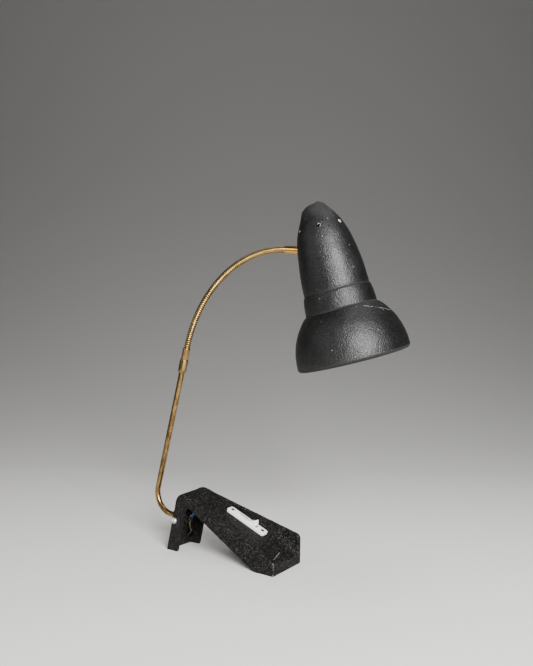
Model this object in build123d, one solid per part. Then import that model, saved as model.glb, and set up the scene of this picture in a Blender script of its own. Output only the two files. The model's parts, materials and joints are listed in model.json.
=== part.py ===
from build123d import *
import math
import os

os.makedirs("parts", exist_ok=True)

# Gooseneck desk lamp on an arched cast base. Millimetres and degrees.
# The origin is the centre of the front foot's sole. +X points to the front, +Y to the fence side, +Z up.

# Base casting
BASE_LENGTH = 184.0
FOOT_LENGTH = 31.5
FRONT_HEIGHT = 16.5
FRONT_HALF_WIDTH = 33.7
REAR_HALF_WIDTH = 25.0
LEG_DEPTH = 20.0
LEG_LEAN = 12.0
DECK_SLOPE = 22.9
UNDERSIDE_SLOPE = 29.3
CROWN_RADIUS = 18.0
ARCH_RADIUS = 8.0
SIDE_WALL = 5.0
REAR_WEB = 5.0
DECK_THICKNESS = 6.0
FOOT_SOLID_LENGTH = 38.0

# Fence along the far side and the tray facet at the front
FENCE_THICKNESS = 5.0
FENCE_FRONT_HEIGHT = 38.0
FENCE_SLOPE = 15.7
FENCE_CORNER_RADIUS = 7.0
FENCE_CROWN_RADIUS = 13.0
COVE_RADIUS = 5.0
TRAY_DROP = 8.0
TRAY_REACH = 36.0

# Stem and its clamp in the rear leg
STEM_DIAMETER = 8.0
STEM_WALL = 1.0
STEM_HEIGHT = 42.5
STEM_REACH = 59.8
STEM_BEND_RADIUS = 30.0
STEM_LEAN = 13.9
STEM_RISE = 241.5
SOCKET_DIAMETER = 17.0
SOCKET_LENGTH = 11.0
STEM_STICKS_OUT = 1.5
SET_SCREW_DIAMETER = 5.0
SET_SCREW_HEAD_DIAMETER = 9.0
SET_SCREW_HEAD_HEIGHT = 4.0
SET_SCREW_SETBACK = 5.5
SPOT_FACE_DEPTH = 0.4
SLOT_WIDTH = 1.2

# Ferrules
SLEEVE_DIAMETER = 11.6
SLEEVE_LENGTH = 20.0
SLEEVE_TAPER = 4.0
COLLAR_DIAMETER = 9.8
COLLAR_LENGTH = 16.5
COLLAR_RIM_DIAMETER = 10.6
COLLAR_RIM_HEIGHT = 1.6
COLLAR_SPIGOT_LENGTH = 6.0
COLLAR_SPIGOT_DIAMETER = 9.0
NECK_SEAT_DEPTH = 9.0
FERRULE_DIAMETER = 10.0
FERRULE_LENGTH = 24.5
CORE_PASSAGE_DIAMETER = 5.4

# Gooseneck, in straight ribbed links that meet at ball seats
NECK_DIAMETER = 8.3
NECK_GROOVE_DIAMETER = 7.3
NECK_BORE_DIAMETER = 4.4
NECK_LINK_LENGTH = 28.4
NECK_JOINTS = 8
NECK_RIBS_PER_LINK = 13
NECK_END_LEAN = 98.5
NECK_RAMP = 0.22
BALL_DIAMETER = 8.4
BALL_CLEARANCE = 0.3

# Shade: ogive cap, band, bell and rolled rim; heights are measured down from the tip
SHADE_WALL = 1.0
CAP_LENGTH = 112.0
CAP_RADIUS = 40.9
CAP_MID_DROP = 50.0
CAP_MID_RADIUS = 33.7
CAP_NOSE_DROP = 9.0
CAP_NOSE_RADIUS = 14.0
CAP_SKIRT_LENGTH = 4.0
BAND_LENGTH = 22.5
BAND_RADIUS = 44.7
SHOULDER_RADIUS = 47.4
SHOULDER_DROP = 1.0
BELL_MID_DROP = 159.0
BELL_MID_RADIUS = 63.0
BELL_WIDEST_DROP = 195.0
BELL_WIDEST_RADIUS = 70.9
RIM_CURL_RADIUS = 4.5
VENT_COUNT = 6
VENT_DIAMETER = 5.0
VENT_DROP = 33.0
VENT_TURN = 54.0
ENTRY_DROP = 51.0
HEAD_TILT = 19.5
HEAD_ROLL = 11.6

# Fixing of the head on the ferrule
NIPPLE_DIAMETER = 8.0
NIPPLE_BORE = 5.4
NIPPLE_DEPTH = 10.0
WASHER_DIAMETER = 15.0
WASHER_THICKNESS = 1.0
LOCK_NUT_ACROSS = 12.0
LOCK_NUT_HEIGHT = 4.0
NIPPLE_STICKS_OUT = 1.5

# Lampholder and its bracket
BRACKET_THICKNESS = 1.5
BRACKET_WIDTH = 14.0
BRACKET_DROP = 74.0
BRACKET_TIP = 9.0
HOLDER_ENTRY_DIAMETER = 10.0
HOLDER_ENTRY_BORE = 6.4
HOLDER_ENTRY_LENGTH = 9.0
HOLDER_NUT_ACROSS = 15.0
HOLDER_NUT_HEIGHT = 3.5
HOLDER_CAP_DIAMETER = 31.0
HOLDER_CAP_LENGTH = 18.0
HOLDER_CAP_WALL = 2.0
INSERT_THICKNESS = 7.0
BARREL_BORE = 22.8
BARREL_WALL = 1.2
BARREL_LENGTH = 24.0
BARREL_FLANGE = 2.0
PLUNGER_DIAMETER = 4.2
PLUNGER_SPACING = 11.0
PLUNGER_STROKE = 4.0
PLUNGER_SPRING_WALL = 0.6

# Bulb with a bayonet cap
BULB_CAP_DIAMETER = 22.0
BULB_CAP_LENGTH = 25.0
BULB_CAP_WALL = 0.6
BULB_PIN_DIAMETER = 2.0
BULB_PIN_DROP = 7.0
BULB_DIAMETER = 55.0
BULB_LENGTH = 96.0
BULB_NECK_DIAMETER = 20.4
BULB_GLASS_WALL = 0.9
BULB_CONTACT_DIAMETER = 4.6
BULB_CONTACT_HEIGHT = 0.8
FILAMENT_DROP = 62.0
FILAMENT_SPAN = 22.0
FILAMENT_WIRE = 0.8

# Switch on the deck
SWITCH_SETBACK = 73.0
SWITCH_SIDE_OFFSET = 11.0
SWITCH_LENGTH = 65.0
SWITCH_WIDTH = 13.0
SWITCH_PLATE_HEIGHT = 4.5
SWITCH_CORNER_RADIUS = 2.6
SWITCH_EDGE_RADIUS = 0.8
SWITCH_SCREW_SPACING = 54.0
SWITCH_SCREW_DIAMETER = 3.0
SWITCH_SCREW_HEAD_DIAMETER = 5.6
SWITCH_SCREW_LENGTH = 9.0
SWITCH_BOX_DEPTH = 14.0
SWITCH_BOX_WALL = 1.7
ROCKER_LENGTH = 33.6
ROCKER_WIDTH = 7.2
ROCKER_END_HEIGHT = 7.6
ROCKER_MIDDLE_HEIGHT = 2.9
ROCKER_UNDERSIDE = 1.2
ROCKER_TILT = 14.0
ROCKER_PIVOT_DEPTH = 3.2
ROCKER_HUB_DIAMETER = 5.2
ROCKER_CAM_REACH = 6.5
ROCKER_CAM_OFFSET = 6.0
ROCKER_CAM_DIAMETER = 3.0
ROCKER_PIN_DIAMETER = 2.0
LEAF_THICKNESS = 0.5
LEAF_WIDTH = 5.0
CONTACT_GAP = 0.5
SWITCH_BACK_THICKNESS = 1.6
POST_DIAMETER = 3.0
POST_SPACING = 28.0
TERMINAL_SIZE = 5.0
TERMINAL_SCREW_DIAMETER = 2.0

# Connector block, earth screw and cores
BLOCK_LENGTH = 15.0
BLOCK_WIDTH = 20.0
BLOCK_HEIGHT = 8.5
BLOCK_WAYS_SPACING = 12.0
BLOCK_SETBACK = 50.0
BLOCK_SCREW_DIAMETER = 3.0
BLOCK_SCREW_HEAD = 5.5
EARTH_SCREW_DIAMETER = 4.0
EARTH_SCREW_HEAD = 8.0
EARTH_SCREW_HEAD_HEIGHT = 2.4
EARTH_SCREW_HEIGHT = 16.0
EARTH_SCREW_OFFSET = 14.0
EARTH_TAG_THICKNESS = 0.8
CORE_DIAMETER = 2.0
CORE_SPREAD = 1.22
NEUTRAL_TURN = 90.0
EARTH_TURN = 210.0
SWITCHED_TURN = 330.0
ARC_SHARE = 0.45

# Clearances, radial or face to face
FIT = 0.03
RUNNING_FIT = 0.06
SLIP = 0.3
SEAT = 0.05


# Small helpers


def slope_vector(angle):
    """Unit vector in the XZ plane that leans forward from vertical by the angle."""
    return Vector(math.sin(math.radians(angle)), 0, math.cos(math.radians(angle)))


def meet(point_a, dir_a, point_b, dir_b):
    """Crossing of two lines in a plane, as (x, y)."""
    det = dir_b[0] * dir_a[1] - dir_a[0] * dir_b[1]
    dx = point_b[0] - point_a[0]
    dy = point_b[1] - point_a[1]
    run = (dir_b[0] * dy - dir_b[1] * dx) / det
    return (point_a[0] + run * dir_a[0], point_a[1] + run * dir_a[1])


def side_prism(outline, half_width):
    """Solid with an outline in the XZ plane, the same distance to both sides of Y = 0."""
    return extrude(Plane.XZ * outline, half_width, both=True)


def rounded_corner(outline, corner, radius):
    """Outline with the vertex nearest to a corner rounded."""
    vertex = outline.vertices().sort_by_distance(Vector(corner[0], corner[1], 0))[0]
    return fillet(vertex, radius)


def turned(*points):
    """Solid of revolution about Z from (radius, height) points."""
    outline = Polyline(*[(r, 0, z) for r, z in points], close=True)
    return revolve(make_face(outline), Axis.Z)


def tube(path, outer_radius, inner_radius=0.0):
    """Round tube or rod along a path."""
    start = Plane(path @ 0, z_dir=path % 0)
    solid = sweep(start * Circle(outer_radius), path)
    if inner_radius > 0:
        solid = solid - sweep(start * Circle(inner_radius), path)
    return solid


def rod(radius, low, high):
    """Cylinder about Z between two heights."""
    return Pos(0, 0, (low + high) / 2) * Cylinder(radius, high - low)


def hexagon(across, low, high):
    """Hexagonal prism about Z between two heights."""
    outline = RegularPolygon(across / 2, 6, major_radius=False)
    return extrude(Pos(0, 0, low) * outline, high - low)


def slotted(head, top, diameter, height):
    """Screw head with a driver slot cut in its top, half as deep as the head is high."""
    return head - Pos(0, 0, top) * Box(2 * diameter, SLOT_WIDTH, height)


def one_solid(shape):
    """The single solid in a shape, so that each node is one clean body."""
    solids = shape.solids()
    return solids[0] if len(solids) == 1 else Compound(children=list(solids))


nodes = {}


def keep(name, shape, place=None):
    """Put a finished piece in its place and file it under its node's name."""
    placed = shape if place is None else place * shape
    nodes[name] = one_solid(placed)
    return nodes[name]


# Side outline of the base, as (x, z)
x_front = FOOT_LENGTH / 2
x_sole_back = -FOOT_LENGTH / 2
x_rear = x_front - BASE_LENGTH
x_leg_front = x_rear + LEG_DEPTH
side_taper = (FRONT_HALF_WIDTH - REAR_HALF_WIDTH) / BASE_LENGTH
lean = slope_vector(LEG_LEAN)
leg_up = (lean.X, lean.Z)
deck_back = (-math.cos(math.radians(DECK_SLOPE)), math.sin(math.radians(DECK_SLOPE)))
under_back = (-math.cos(math.radians(UNDERSIDE_SLOPE)), math.sin(math.radians(UNDERSIDE_SLOPE)))
fence_back = (-math.cos(math.radians(FENCE_SLOPE)), math.sin(math.radians(FENCE_SLOPE)))

deck_front = (x_front, FRONT_HEIGHT)
fence_front = (x_front, FENCE_FRONT_HEIGHT)
deck_apex = meet((x_rear, 0), leg_up, deck_front, deck_back)
fence_apex = meet((x_rear, 0), leg_up, fence_front, fence_back)
arch_apex = meet((x_leg_front, 0), leg_up, (x_sole_back, 0), under_back)
OVERSHOOT = BASE_LENGTH


def deck_height(x):
    """Height of the deck's surface over the table."""
    return FRONT_HEIGHT + (x_front - x) * math.tan(math.radians(DECK_SLOPE))


def half_width(x):
    """Half of the base's width at a place along it."""
    return FRONT_HALF_WIDTH - side_taper * (x_front - x)


def rear_face(height):
    """Place of the leg's rear face at a height."""
    return x_rear + height * math.tan(math.radians(LEG_LEAN))


def plan_prism(near_inset, far_inset):
    """Tall prism with the base's tapered plan, set in from its near and far sides."""
    back = x_rear - OVERSHOOT
    front = x_front + OVERSHOOT
    outline = Polygon(
        (back, -half_width(back) + near_inset),
        (front, -half_width(front) + near_inset),
        (front, half_width(front) - far_inset),
        (back, half_width(back) - far_inset),
        align=None,
    )
    return extrude(outline, OVERSHOOT, both=True)


# Base casting: the full-height body, less the trough over the deck, the tray facet and the hollow below
fence_outline = Polygon(
    (x_rear, 0),
    fence_apex,
    fence_front,
    (x_front, 0),
    (x_sole_back, 0),
    arch_apex,
    (x_leg_front, 0),
    align=None,
)
fence_outline = rounded_corner(fence_outline, fence_apex, FENCE_CROWN_RADIUS)
fence_outline = rounded_corner(fence_outline, arch_apex, ARCH_RADIUS)
fence_outline = rounded_corner(fence_outline, fence_front, FENCE_CORNER_RADIUS)
body = side_prism(fence_outline, OVERSHOOT) & plan_prism(0, 0)

over_rear = (x_rear - OVERSHOOT * leg_up[0], -OVERSHOOT * leg_up[1])
over_front = (x_front - OVERSHOOT * deck_back[0], FRONT_HEIGHT - OVERSHOOT * deck_back[1])
trough_outline = Polygon(
    over_rear,
    deck_apex,
    over_front,
    (over_front[0], 2 * OVERSHOOT),
    (over_rear[0] - OVERSHOOT, 2 * OVERSHOOT),
    (over_rear[0] - OVERSHOOT, over_rear[1]),
    align=None,
)
trough_outline = rounded_corner(trough_outline, deck_apex, CROWN_RADIUS)
trough = side_prism(trough_outline, OVERSHOOT) & plan_prism(-OVERSHOOT, FENCE_THICKNESS)
far_face = trough.faces().sort_by(Axis.Y)[-1]
cove_edges = [
    edge
    for edge in far_face.edges()
    if (edge @ 0.5).Z < 2 * OVERSHOOT - COVE_RADIUS
    and (edge @ 0.5).X > rear_face(deck_apex[1]) - CROWN_RADIUS
    and (edge @ 0.5).X < over_front[0] - COVE_RADIUS
]
trough = fillet(cove_edges, COVE_RADIUS)
body = body - trough

far_floor = half_width(x_front) - FENCE_THICKNESS
tray_near = Vector(x_front, -half_width(x_front), FRONT_HEIGHT)
tray_far = Vector(x_front, far_floor, FRONT_HEIGHT - TRAY_DROP)
tray_back = Vector(x_front - TRAY_REACH, far_floor, deck_height(x_front - TRAY_REACH))
tray_normal = (tray_far - tray_near).cross(tray_back - tray_near)
tray_plane = Plane(tray_near, x_dir=tray_far - tray_near, z_dir=tray_normal)
tray_block = tray_plane.location * Box(
    OVERSHOOT, OVERSHOOT, OVERSHOOT / 2, align=(Align.CENTER, Align.CENTER, Align.MIN)
)
body = body - (tray_block & plan_prism(-OVERSHOOT, FENCE_THICKNESS))

hollow_front = x_front - FOOT_SOLID_LENGTH
hollow_rear = (x_rear + REAR_WEB / math.cos(math.radians(LEG_LEAN)), 0)
ceiling_drop = DECK_THICKNESS / math.cos(math.radians(DECK_SLOPE))
hollow_apex = meet(hollow_rear, leg_up, (x_front, FRONT_HEIGHT - ceiling_drop), deck_back)
hollow_outline = Polygon(
    (hollow_rear[0] - OVERSHOOT * leg_up[0], -OVERSHOOT * leg_up[1]),
    hollow_apex,
    (hollow_front, deck_height(hollow_front) - ceiling_drop),
    (hollow_front, -OVERSHOOT * leg_up[1]),
    align=None,
)
hollow_outline = rounded_corner(hollow_outline, hollow_apex, CROWN_RADIUS - DECK_THICKNESS)
body = body - (side_prism(hollow_outline, OVERSHOOT) & plan_prism(SIDE_WALL, SIDE_WALL))

# Socket for the stem and the boss that carries the set screw, inside the leg
socket_rear = rear_face(STEM_HEIGHT)
socket_front = socket_rear + SOCKET_LENGTH
set_screw_x = socket_rear + SET_SCREW_SETBACK
set_screw_y = SPOT_FACE_DEPTH - half_width(set_screw_x)
stem_axis = Plane((socket_front, 0, STEM_HEIGHT), x_dir=(0, 0, 1), z_dir=(-1, 0, 0))
screw_axis = Plane((set_screw_x, set_screw_y, STEM_HEIGHT), x_dir=(0, 0, 1), z_dir=(0, -1, 0))
socket = stem_axis.location * rod(SOCKET_DIAMETER / 2, 0, SOCKET_LENGTH + REAR_WEB)
screw_boss = screw_axis.location * rod(SET_SCREW_DIAMETER, set_screw_y, SIDE_WALL)
inside_leg = side_prism(fence_outline, OVERSHOOT) & plan_prism(0, 0)
body = body + ((socket + screw_boss) & inside_leg)

# Deck frame at the switch: x down the slope, y across, z out of the deck
switch_x = x_front - SWITCH_SETBACK
deck_frame = Plane(
    (switch_x, SWITCH_SIDE_OFFSET, deck_height(switch_x)),
    x_dir=slope_vector(90 + DECK_SLOPE),
    z_dir=slope_vector(DECK_SLOPE),
).location

slot_half_length = math.hypot(ROCKER_LENGTH / 2, ROCKER_END_HEIGHT) + SLIP
slot_width = ROCKER_WIDTH + 2 * SLIP
box_length = 2 * (slot_half_length + SWITCH_BOX_WALL)
box_width = slot_width + 2 * SWITCH_BOX_WALL
block_place = deck_frame * Pos(-BLOCK_SETBACK, -SWITCH_SIDE_OFFSET, -DECK_THICKNESS)
web_face = rear_face(EARTH_SCREW_HEIGHT) + REAR_WEB / math.cos(math.radians(LEG_LEAN))
earth_place = Plane(
    (web_face, EARTH_SCREW_OFFSET, EARTH_SCREW_HEIGHT), x_dir=lean, z_dir=slope_vector(90 + LEG_LEAN)
).location

stem_hole = stem_axis.location * rod(STEM_DIAMETER / 2 + FIT, -SOCKET_LENGTH, 2 * SOCKET_LENGTH)
screw_hole = screw_axis.location * rod(SET_SCREW_DIAMETER / 2 + FIT, set_screw_y, SOCKET_LENGTH)
switch_hole = deck_frame * Box(box_length + 2 * SLIP, box_width + 2 * SLIP, 3 * DECK_THICKNESS)
spot_face = screw_axis.location * rod(SET_SCREW_HEAD_DIAMETER / 2 + SLIP, 0, SOCKET_LENGTH)
body = body - stem_hole - screw_hole - spot_face - switch_hole
for side in (-1, 1):
    hole = rod(SWITCH_SCREW_DIAMETER / 2 + FIT, -2 * DECK_THICKNESS, DECK_THICKNESS)
    body = body - deck_frame * Pos(side * SWITCH_SCREW_SPACING / 2, 0, 0) * hole
block_thread = DECK_THICKNESS / 2
body = body - block_place * rod(BLOCK_SCREW_DIAMETER / 2 + FIT, -BLOCK_HEIGHT, block_thread)
earth_thread = REAR_WEB / 2
body = body - earth_place * rod(EARTH_SCREW_DIAMETER / 2 + FIT, -earth_thread, REAR_WEB)
keep("base_casting", body)

# Set screw through the side of the leg, bearing on the stem
screw_length = -set_screw_y - STEM_DIAMETER / 2
dome = Sphere(SET_SCREW_HEAD_DIAMETER / 2) & rod(SET_SCREW_HEAD_DIAMETER, 0, SET_SCREW_HEAD_HEIGHT)
set_screw = slotted(dome, SET_SCREW_HEAD_HEIGHT, SET_SCREW_HEAD_DIAMETER, SET_SCREW_HEAD_HEIGHT)
set_screw = Pos(0, 0, SEAT) * set_screw + rod(SET_SCREW_DIAMETER / 2, SEAT - screw_length, 2 * SEAT)
keep("stem_set_screw", set_screw, screw_axis.location)

# Stem tube: level through the socket, a round bend behind the leg, then straight up and forward
stem_up = slope_vector(STEM_LEAN)
stem_corner = Vector(socket_rear - STEM_REACH, 0, STEM_HEIGHT)
neck_start = stem_corner + stem_up * (STEM_RISE / stem_up.Z)
stem_top = neck_start - stem_up * (COLLAR_LENGTH + COLLAR_SPIGOT_LENGTH + SEAT)
stem_end = Vector(socket_front + STEM_STICKS_OUT, 0, STEM_HEIGHT)
stem_path = FilletPolyline(stem_end, stem_corner, stem_top, radius=STEM_BEND_RADIUS)
stem_radius = STEM_DIAMETER / 2
keep("stem_tube", tube(stem_path, stem_radius, stem_radius - STEM_WALL))

# Lower ferrule: a sleeve on the stem and a collar that takes the gooseneck
neck_place = Plane(neck_start, x_dir=slope_vector(90 + STEM_LEAN), z_dir=stem_up).location
sleeve_top = -COLLAR_LENGTH
sleeve_step = sleeve_top - COLLAR_SPIGOT_LENGTH - SEAT
sleeve_low = sleeve_top - SLEEVE_LENGTH
sleeve_bore = stem_radius + FIT
sleeve = turned(
    (sleeve_bore, sleeve_low),
    ((sleeve_bore + SLEEVE_DIAMETER / 2) / 2, sleeve_low),
    (SLEEVE_DIAMETER / 2, sleeve_low + SLEEVE_TAPER),
    (SLEEVE_DIAMETER / 2, sleeve_top - SEAT),
    (COLLAR_SPIGOT_DIAMETER / 2 + FIT, sleeve_top - SEAT),
    (COLLAR_SPIGOT_DIAMETER / 2 + FIT, sleeve_step),
    (sleeve_bore, sleeve_step),
)
keep("lower_sleeve", sleeve, neck_place)

passage = CORE_PASSAGE_DIAMETER / 2
neck_radius = NECK_DIAMETER / 2
seat_radius = neck_radius + FIT
collar = turned(
    (passage, sleeve_top - COLLAR_SPIGOT_LENGTH),
    (COLLAR_SPIGOT_DIAMETER / 2, sleeve_top - COLLAR_SPIGOT_LENGTH),
    (COLLAR_SPIGOT_DIAMETER / 2, sleeve_top),
    (COLLAR_DIAMETER / 2, sleeve_top),
    (COLLAR_DIAMETER / 2, -COLLAR_RIM_HEIGHT),
    (COLLAR_RIM_DIAMETER / 2, -COLLAR_RIM_HEIGHT),
    (COLLAR_RIM_DIAMETER / 2, 0),
    (seat_radius, 0),
    (seat_radius, -NECK_SEAT_DEPTH),
    (passage, -NECK_SEAT_DEPTH),
)
keep("lower_collar", collar, neck_place)

# Gooseneck links: ribbed outside, bored, with a ball at the top and a cup at the bottom
groove_radius = NECK_GROOVE_DIAMETER / 2
bore_radius = NECK_BORE_DIAMETER / 2
ball_radius = BALL_DIAMETER / 2
cup_radius = ball_radius + BALL_CLEARANCE
cup_rim = math.sqrt(cup_radius**2 - groove_radius**2)
cup_floor = math.sqrt(cup_radius**2 - bore_radius**2)
ball_base = math.sqrt(ball_radius**2 - groove_radius**2)
ball_top = math.sqrt(ball_radius**2 - bore_radius**2)
rib_end = math.sqrt(ball_radius**2 - neck_radius**2)
rib_pitch = (NECK_LINK_LENGTH + rib_end - cup_rim) / NECK_RIBS_PER_LINK


def rib_points(low, high):
    """Outline of whole ribs between two heights, as (radius, height)."""
    count = max(1, round((high - low) / rib_pitch))
    pitch = (high - low) / count
    points = [(groove_radius, low)]
    for rib in range(count):
        foot = low + rib * pitch
        points.append((neck_radius, foot + pitch / 4))
        points.append((neck_radius, foot + 3 * pitch / 4))
        points.append((groove_radius, foot + pitch))
    return points


def sphere_arc(radius, centre, from_radius, to_radius):
    """Arc of a ball's outline above its centre, between two radii."""
    ends = [Vector(r, 0, centre + math.sqrt(radius**2 - r**2)) for r in (from_radius, to_radius)]
    middle = (from_radius + to_radius) / 2
    return ThreePointArc(ends[0], (middle, 0, centre + math.sqrt(radius**2 - middle**2)), ends[1])


def line_through(points):
    """Open line through (radius, height) points."""
    return Polyline(*[(r, 0, z) for r, z in points])


def neck_link(outer, top, foot):
    """Link from its outer line, with a ball at the top and a cup at the foot unless it ends plain there."""
    edges = line_through(outer).edges()
    last = outer[-1]
    if top is None:
        edges += Line((last[0], 0, last[1]), (bore_radius, 0, last[1])).edges()
        upper = last[1]
    else:
        edges += Line((last[0], 0, last[1]), (groove_radius, 0, top + ball_base)).edges()
        edges += sphere_arc(ball_radius, top, groove_radius, bore_radius).edges()
        upper = top + ball_top
    lower = cup_floor if foot is None else foot
    edges += Line((bore_radius, 0, upper), (bore_radius, 0, lower)).edges()
    if foot is None:
        edges += sphere_arc(cup_radius, 0, bore_radius, groove_radius).edges()
    else:
        edges += Line((bore_radius, 0, foot), (outer[0][0], 0, foot)).edges()
    return revolve(make_face(edges), Axis.Z)


half_link = NECK_LINK_LENGTH / 2
mean_bend = (NECK_END_LEAN - STEM_LEAN) / NECK_JOINTS
joint_middle = (NECK_JOINTS - 1) / 2
joint_bends = [mean_bend * (1 + NECK_RAMP * (i - joint_middle) / joint_middle) for i in range(NECK_JOINTS)]

root_outer = [(neck_radius, SEAT - NECK_SEAT_DEPTH), (neck_radius, SEAT)]
root_outer += rib_points(SEAT + BALL_CLEARANCE, half_link + rib_end)
keep("neck_root", neck_link(root_outer, half_link, SEAT - NECK_SEAT_DEPTH), neck_place)

link_lean = STEM_LEAN
link_foot = neck_start + stem_up * half_link
joint_points = []
joint_leans = []
for index, bend in enumerate(joint_bends):
    joint_points.append(link_foot)
    joint_leans.append(link_lean + bend / 2)
    link_lean = link_lean + bend
    link_place = Plane(link_foot, x_dir=slope_vector(90 + link_lean), z_dir=slope_vector(link_lean)).location
    if index < NECK_JOINTS - 1:
        outer = rib_points(cup_rim, NECK_LINK_LENGTH + rib_end)
        keep(f"neck_link_{index + 1}", neck_link(outer, NECK_LINK_LENGTH, None), link_place)
        link_foot = link_foot + slope_vector(link_lean) * NECK_LINK_LENGTH
    else:
        outer = rib_points(cup_rim, half_link - BALL_CLEARANCE)
        outer += [(neck_radius, half_link), (neck_radius, half_link + NECK_SEAT_DEPTH - SEAT)]
        keep("neck_tip", neck_link(outer, None, None), link_place)
neck_end = link_foot + slope_vector(NECK_END_LEAN) * half_link

# Shade outline, as (radius, height) with the tip at height zero


def arc_chain(points, tangent):
    """Tangent arcs through points, starting along a tangent."""
    arcs = []
    for start, end in zip(points, points[1:]):
        arc = TangentArc(start, end, tangent=tangent)
        tangent = arc % 1
        arcs.append(arc)
    return arcs


def inset_chain(arcs, wall):
    """The same chain of arcs, moved to the left of its direction by the wall."""
    ends = [(arcs[0] @ 0, arcs[0] % 0)] + [(arc @ 1, arc % 1) for arc in arcs]
    points = [place + Vector(-way.Z, 0, way.X) * wall for place, way in ends]
    return arc_chain(points, arcs[0] % 0)


def chain_shell(outer, inner):
    """Shell turned about Z between an outer and an inner chain of edges."""
    edges = [edge for arc in outer + inner for edge in arc.edges()]
    edges += Line(outer[0] @ 0, inner[0] @ 0).edges()
    edges += Line(outer[-1] @ 1, inner[-1] @ 1).edges()
    return revolve(make_face(edges), Axis.Z)


skirt_foot = Vector(CAP_RADIUS, 0, -CAP_LENGTH - CAP_SKIRT_LENGTH)
skirt_top = Vector(CAP_RADIUS, 0, -CAP_LENGTH)
cap_points = [
    skirt_top,
    Vector(CAP_MID_RADIUS, 0, -CAP_MID_DROP),
    Vector(CAP_NOSE_RADIUS, 0, -CAP_NOSE_DROP),
]
cap_outer = [Line(skirt_foot, skirt_top)] + arc_chain(cap_points, Vector(0, 0, 1))
nose_start = cap_outer[-1] @ 1
nose_way = cap_outer[-1] % 1
# The nose is one arc that starts along the cap's side and ends square to the axis
nose_turn = math.radians(90) - math.atan2(-nose_way.X, nose_way.Z)
nose_arc_radius = CAP_NOSE_RADIUS / math.sin(nose_turn)
nose_rise = nose_arc_radius * (1 - math.cos(nose_turn))
tip = Vector(0, 0, nose_start.Z + nose_rise)
cap_outer = cap_outer + [TangentArc(nose_start, tip, tangent=nose_way)]
cap_inner_start = skirt_foot - Vector(SHADE_WALL, 0, 0)
cap_inner_arcs = inset_chain(cap_outer[1:], SHADE_WALL)
cap_inner = [Line(cap_inner_start, cap_inner_arcs[0] @ 0)] + cap_inner_arcs
cap = chain_shell(cap_outer, cap_inner)
blank_edges = [edge for arc in cap_outer for edge in arc.edges()]
blank_edges += Polyline(tip, (0, 0, skirt_foot.Z), skirt_foot).edges()
cap_blank = revolve(make_face(blank_edges), Axis.Z)
SEARCH_LIMIT = 1e-9


def cap_wall(drop):
    """Radius and slope of the cap's wall at a drop below the tip."""
    span = cap_outer[1] if drop > CAP_MID_DROP else cap_outer[2]
    low = 0.0
    high = 1.0
    while high - low > SEARCH_LIMIT:
        half = (low + high) / 2
        if (span @ half).Z < -drop:
            low = half
        else:
            high = half
    way = span % low
    return (span @ low).X, math.degrees(math.atan2(-way.X, way.Z))


vent_radius, vent_slope = cap_wall(VENT_DROP)
for index in range(VENT_COUNT):
    vent = Rot(0, 0, VENT_TURN + index * 360 / VENT_COUNT) * Pos(vent_radius, 0, -VENT_DROP)
    cap = cap - vent * Rot(0, 90 - vent_slope, 0) * Cylinder(VENT_DIAMETER / 2, 8 * SHADE_WALL)

entry_radius, entry_slope = cap_wall(ENTRY_DROP)
entry = Pos(-entry_radius, 0, -ENTRY_DROP) * Rot(0, HEAD_TILT, 0)
cap = cap - entry * Rot(0, 90, 0) * Cylinder(NIPPLE_DIAMETER / 2 + SLIP, 8 * SHADE_WALL)

# Bell: rolled rim, flared side and rounded shoulder, then the band that grips the cap's skirt
band_foot_drop = CAP_LENGTH + BAND_LENGTH
bell_points = [
    Vector(BELL_WIDEST_RADIUS - RIM_CURL_RADIUS, 0, -BELL_WIDEST_DROP - RIM_CURL_RADIUS),
    Vector(BELL_WIDEST_RADIUS, 0, -BELL_WIDEST_DROP),
    Vector(BELL_MID_RADIUS, 0, -BELL_MID_DROP),
    Vector(SHOULDER_RADIUS, 0, -band_foot_drop - 2 * SHOULDER_DROP),
    Vector(SHOULDER_RADIUS - 2 * SHOULDER_DROP, 0, -band_foot_drop - SHOULDER_DROP),
]
bell_outer = arc_chain(bell_points, Vector(1, 0, 0))
grip_radius = CAP_RADIUS + SEAT
band_top = Vector(grip_radius + SHADE_WALL, 0, -CAP_LENGTH)
band_foot = Vector(BAND_RADIUS, 0, -band_foot_drop)
band_arc = TangentArc(band_foot, band_top, tangent=Vector(0, 0, 1))
bell_inner = inset_chain(bell_outer, SHADE_WALL)
grip_foot = Vector(grip_radius, 0, -CAP_LENGTH - CAP_SKIRT_LENGTH)
band_inner_foot = Vector(BAND_RADIUS - SHADE_WALL, 0, -band_foot_drop)
bell_edges = [edge for arc in bell_outer + bell_inner for edge in arc.edges()]
bell_edges += Line(bell_outer[0] @ 0, bell_inner[0] @ 0).edges()
bell_edges += Line(bell_outer[-1] @ 1, band_foot).edges()
bell_edges += band_arc.edges()
bell_edges += Polyline(
    band_top, Vector(grip_radius, 0, -CAP_LENGTH), grip_foot, band_inner_foot, bell_inner[-1] @ 1
).edges()
bell = revolve(make_face(bell_edges), Axis.Z)

# Head frame: on the cap's wall at the ferrule, x along the ferrule into the shade, z up and rolled
ferrule_way = slope_vector(NECK_END_LEAN)
ferrule_up = slope_vector(NECK_END_LEAN - 90)
roll = math.radians(HEAD_ROLL)
head_up = ferrule_up * math.cos(roll) - Vector(0, 1, 0) * math.sin(roll)
wall_point = neck_end + ferrule_way * FERRULE_LENGTH
head_frame = Plane(wall_point, x_dir=ferrule_way, z_dir=head_up).location
to_shade = Rot(0, -HEAD_TILT, 0) * Pos(entry_radius, 0, ENTRY_DROP)
shade_frame = head_frame * to_shade
along_head = head_frame * Rot(0, 90, 0)
keep("shade_cap", cap, shade_frame)
keep("shade_bell", bell, shade_frame)

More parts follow.
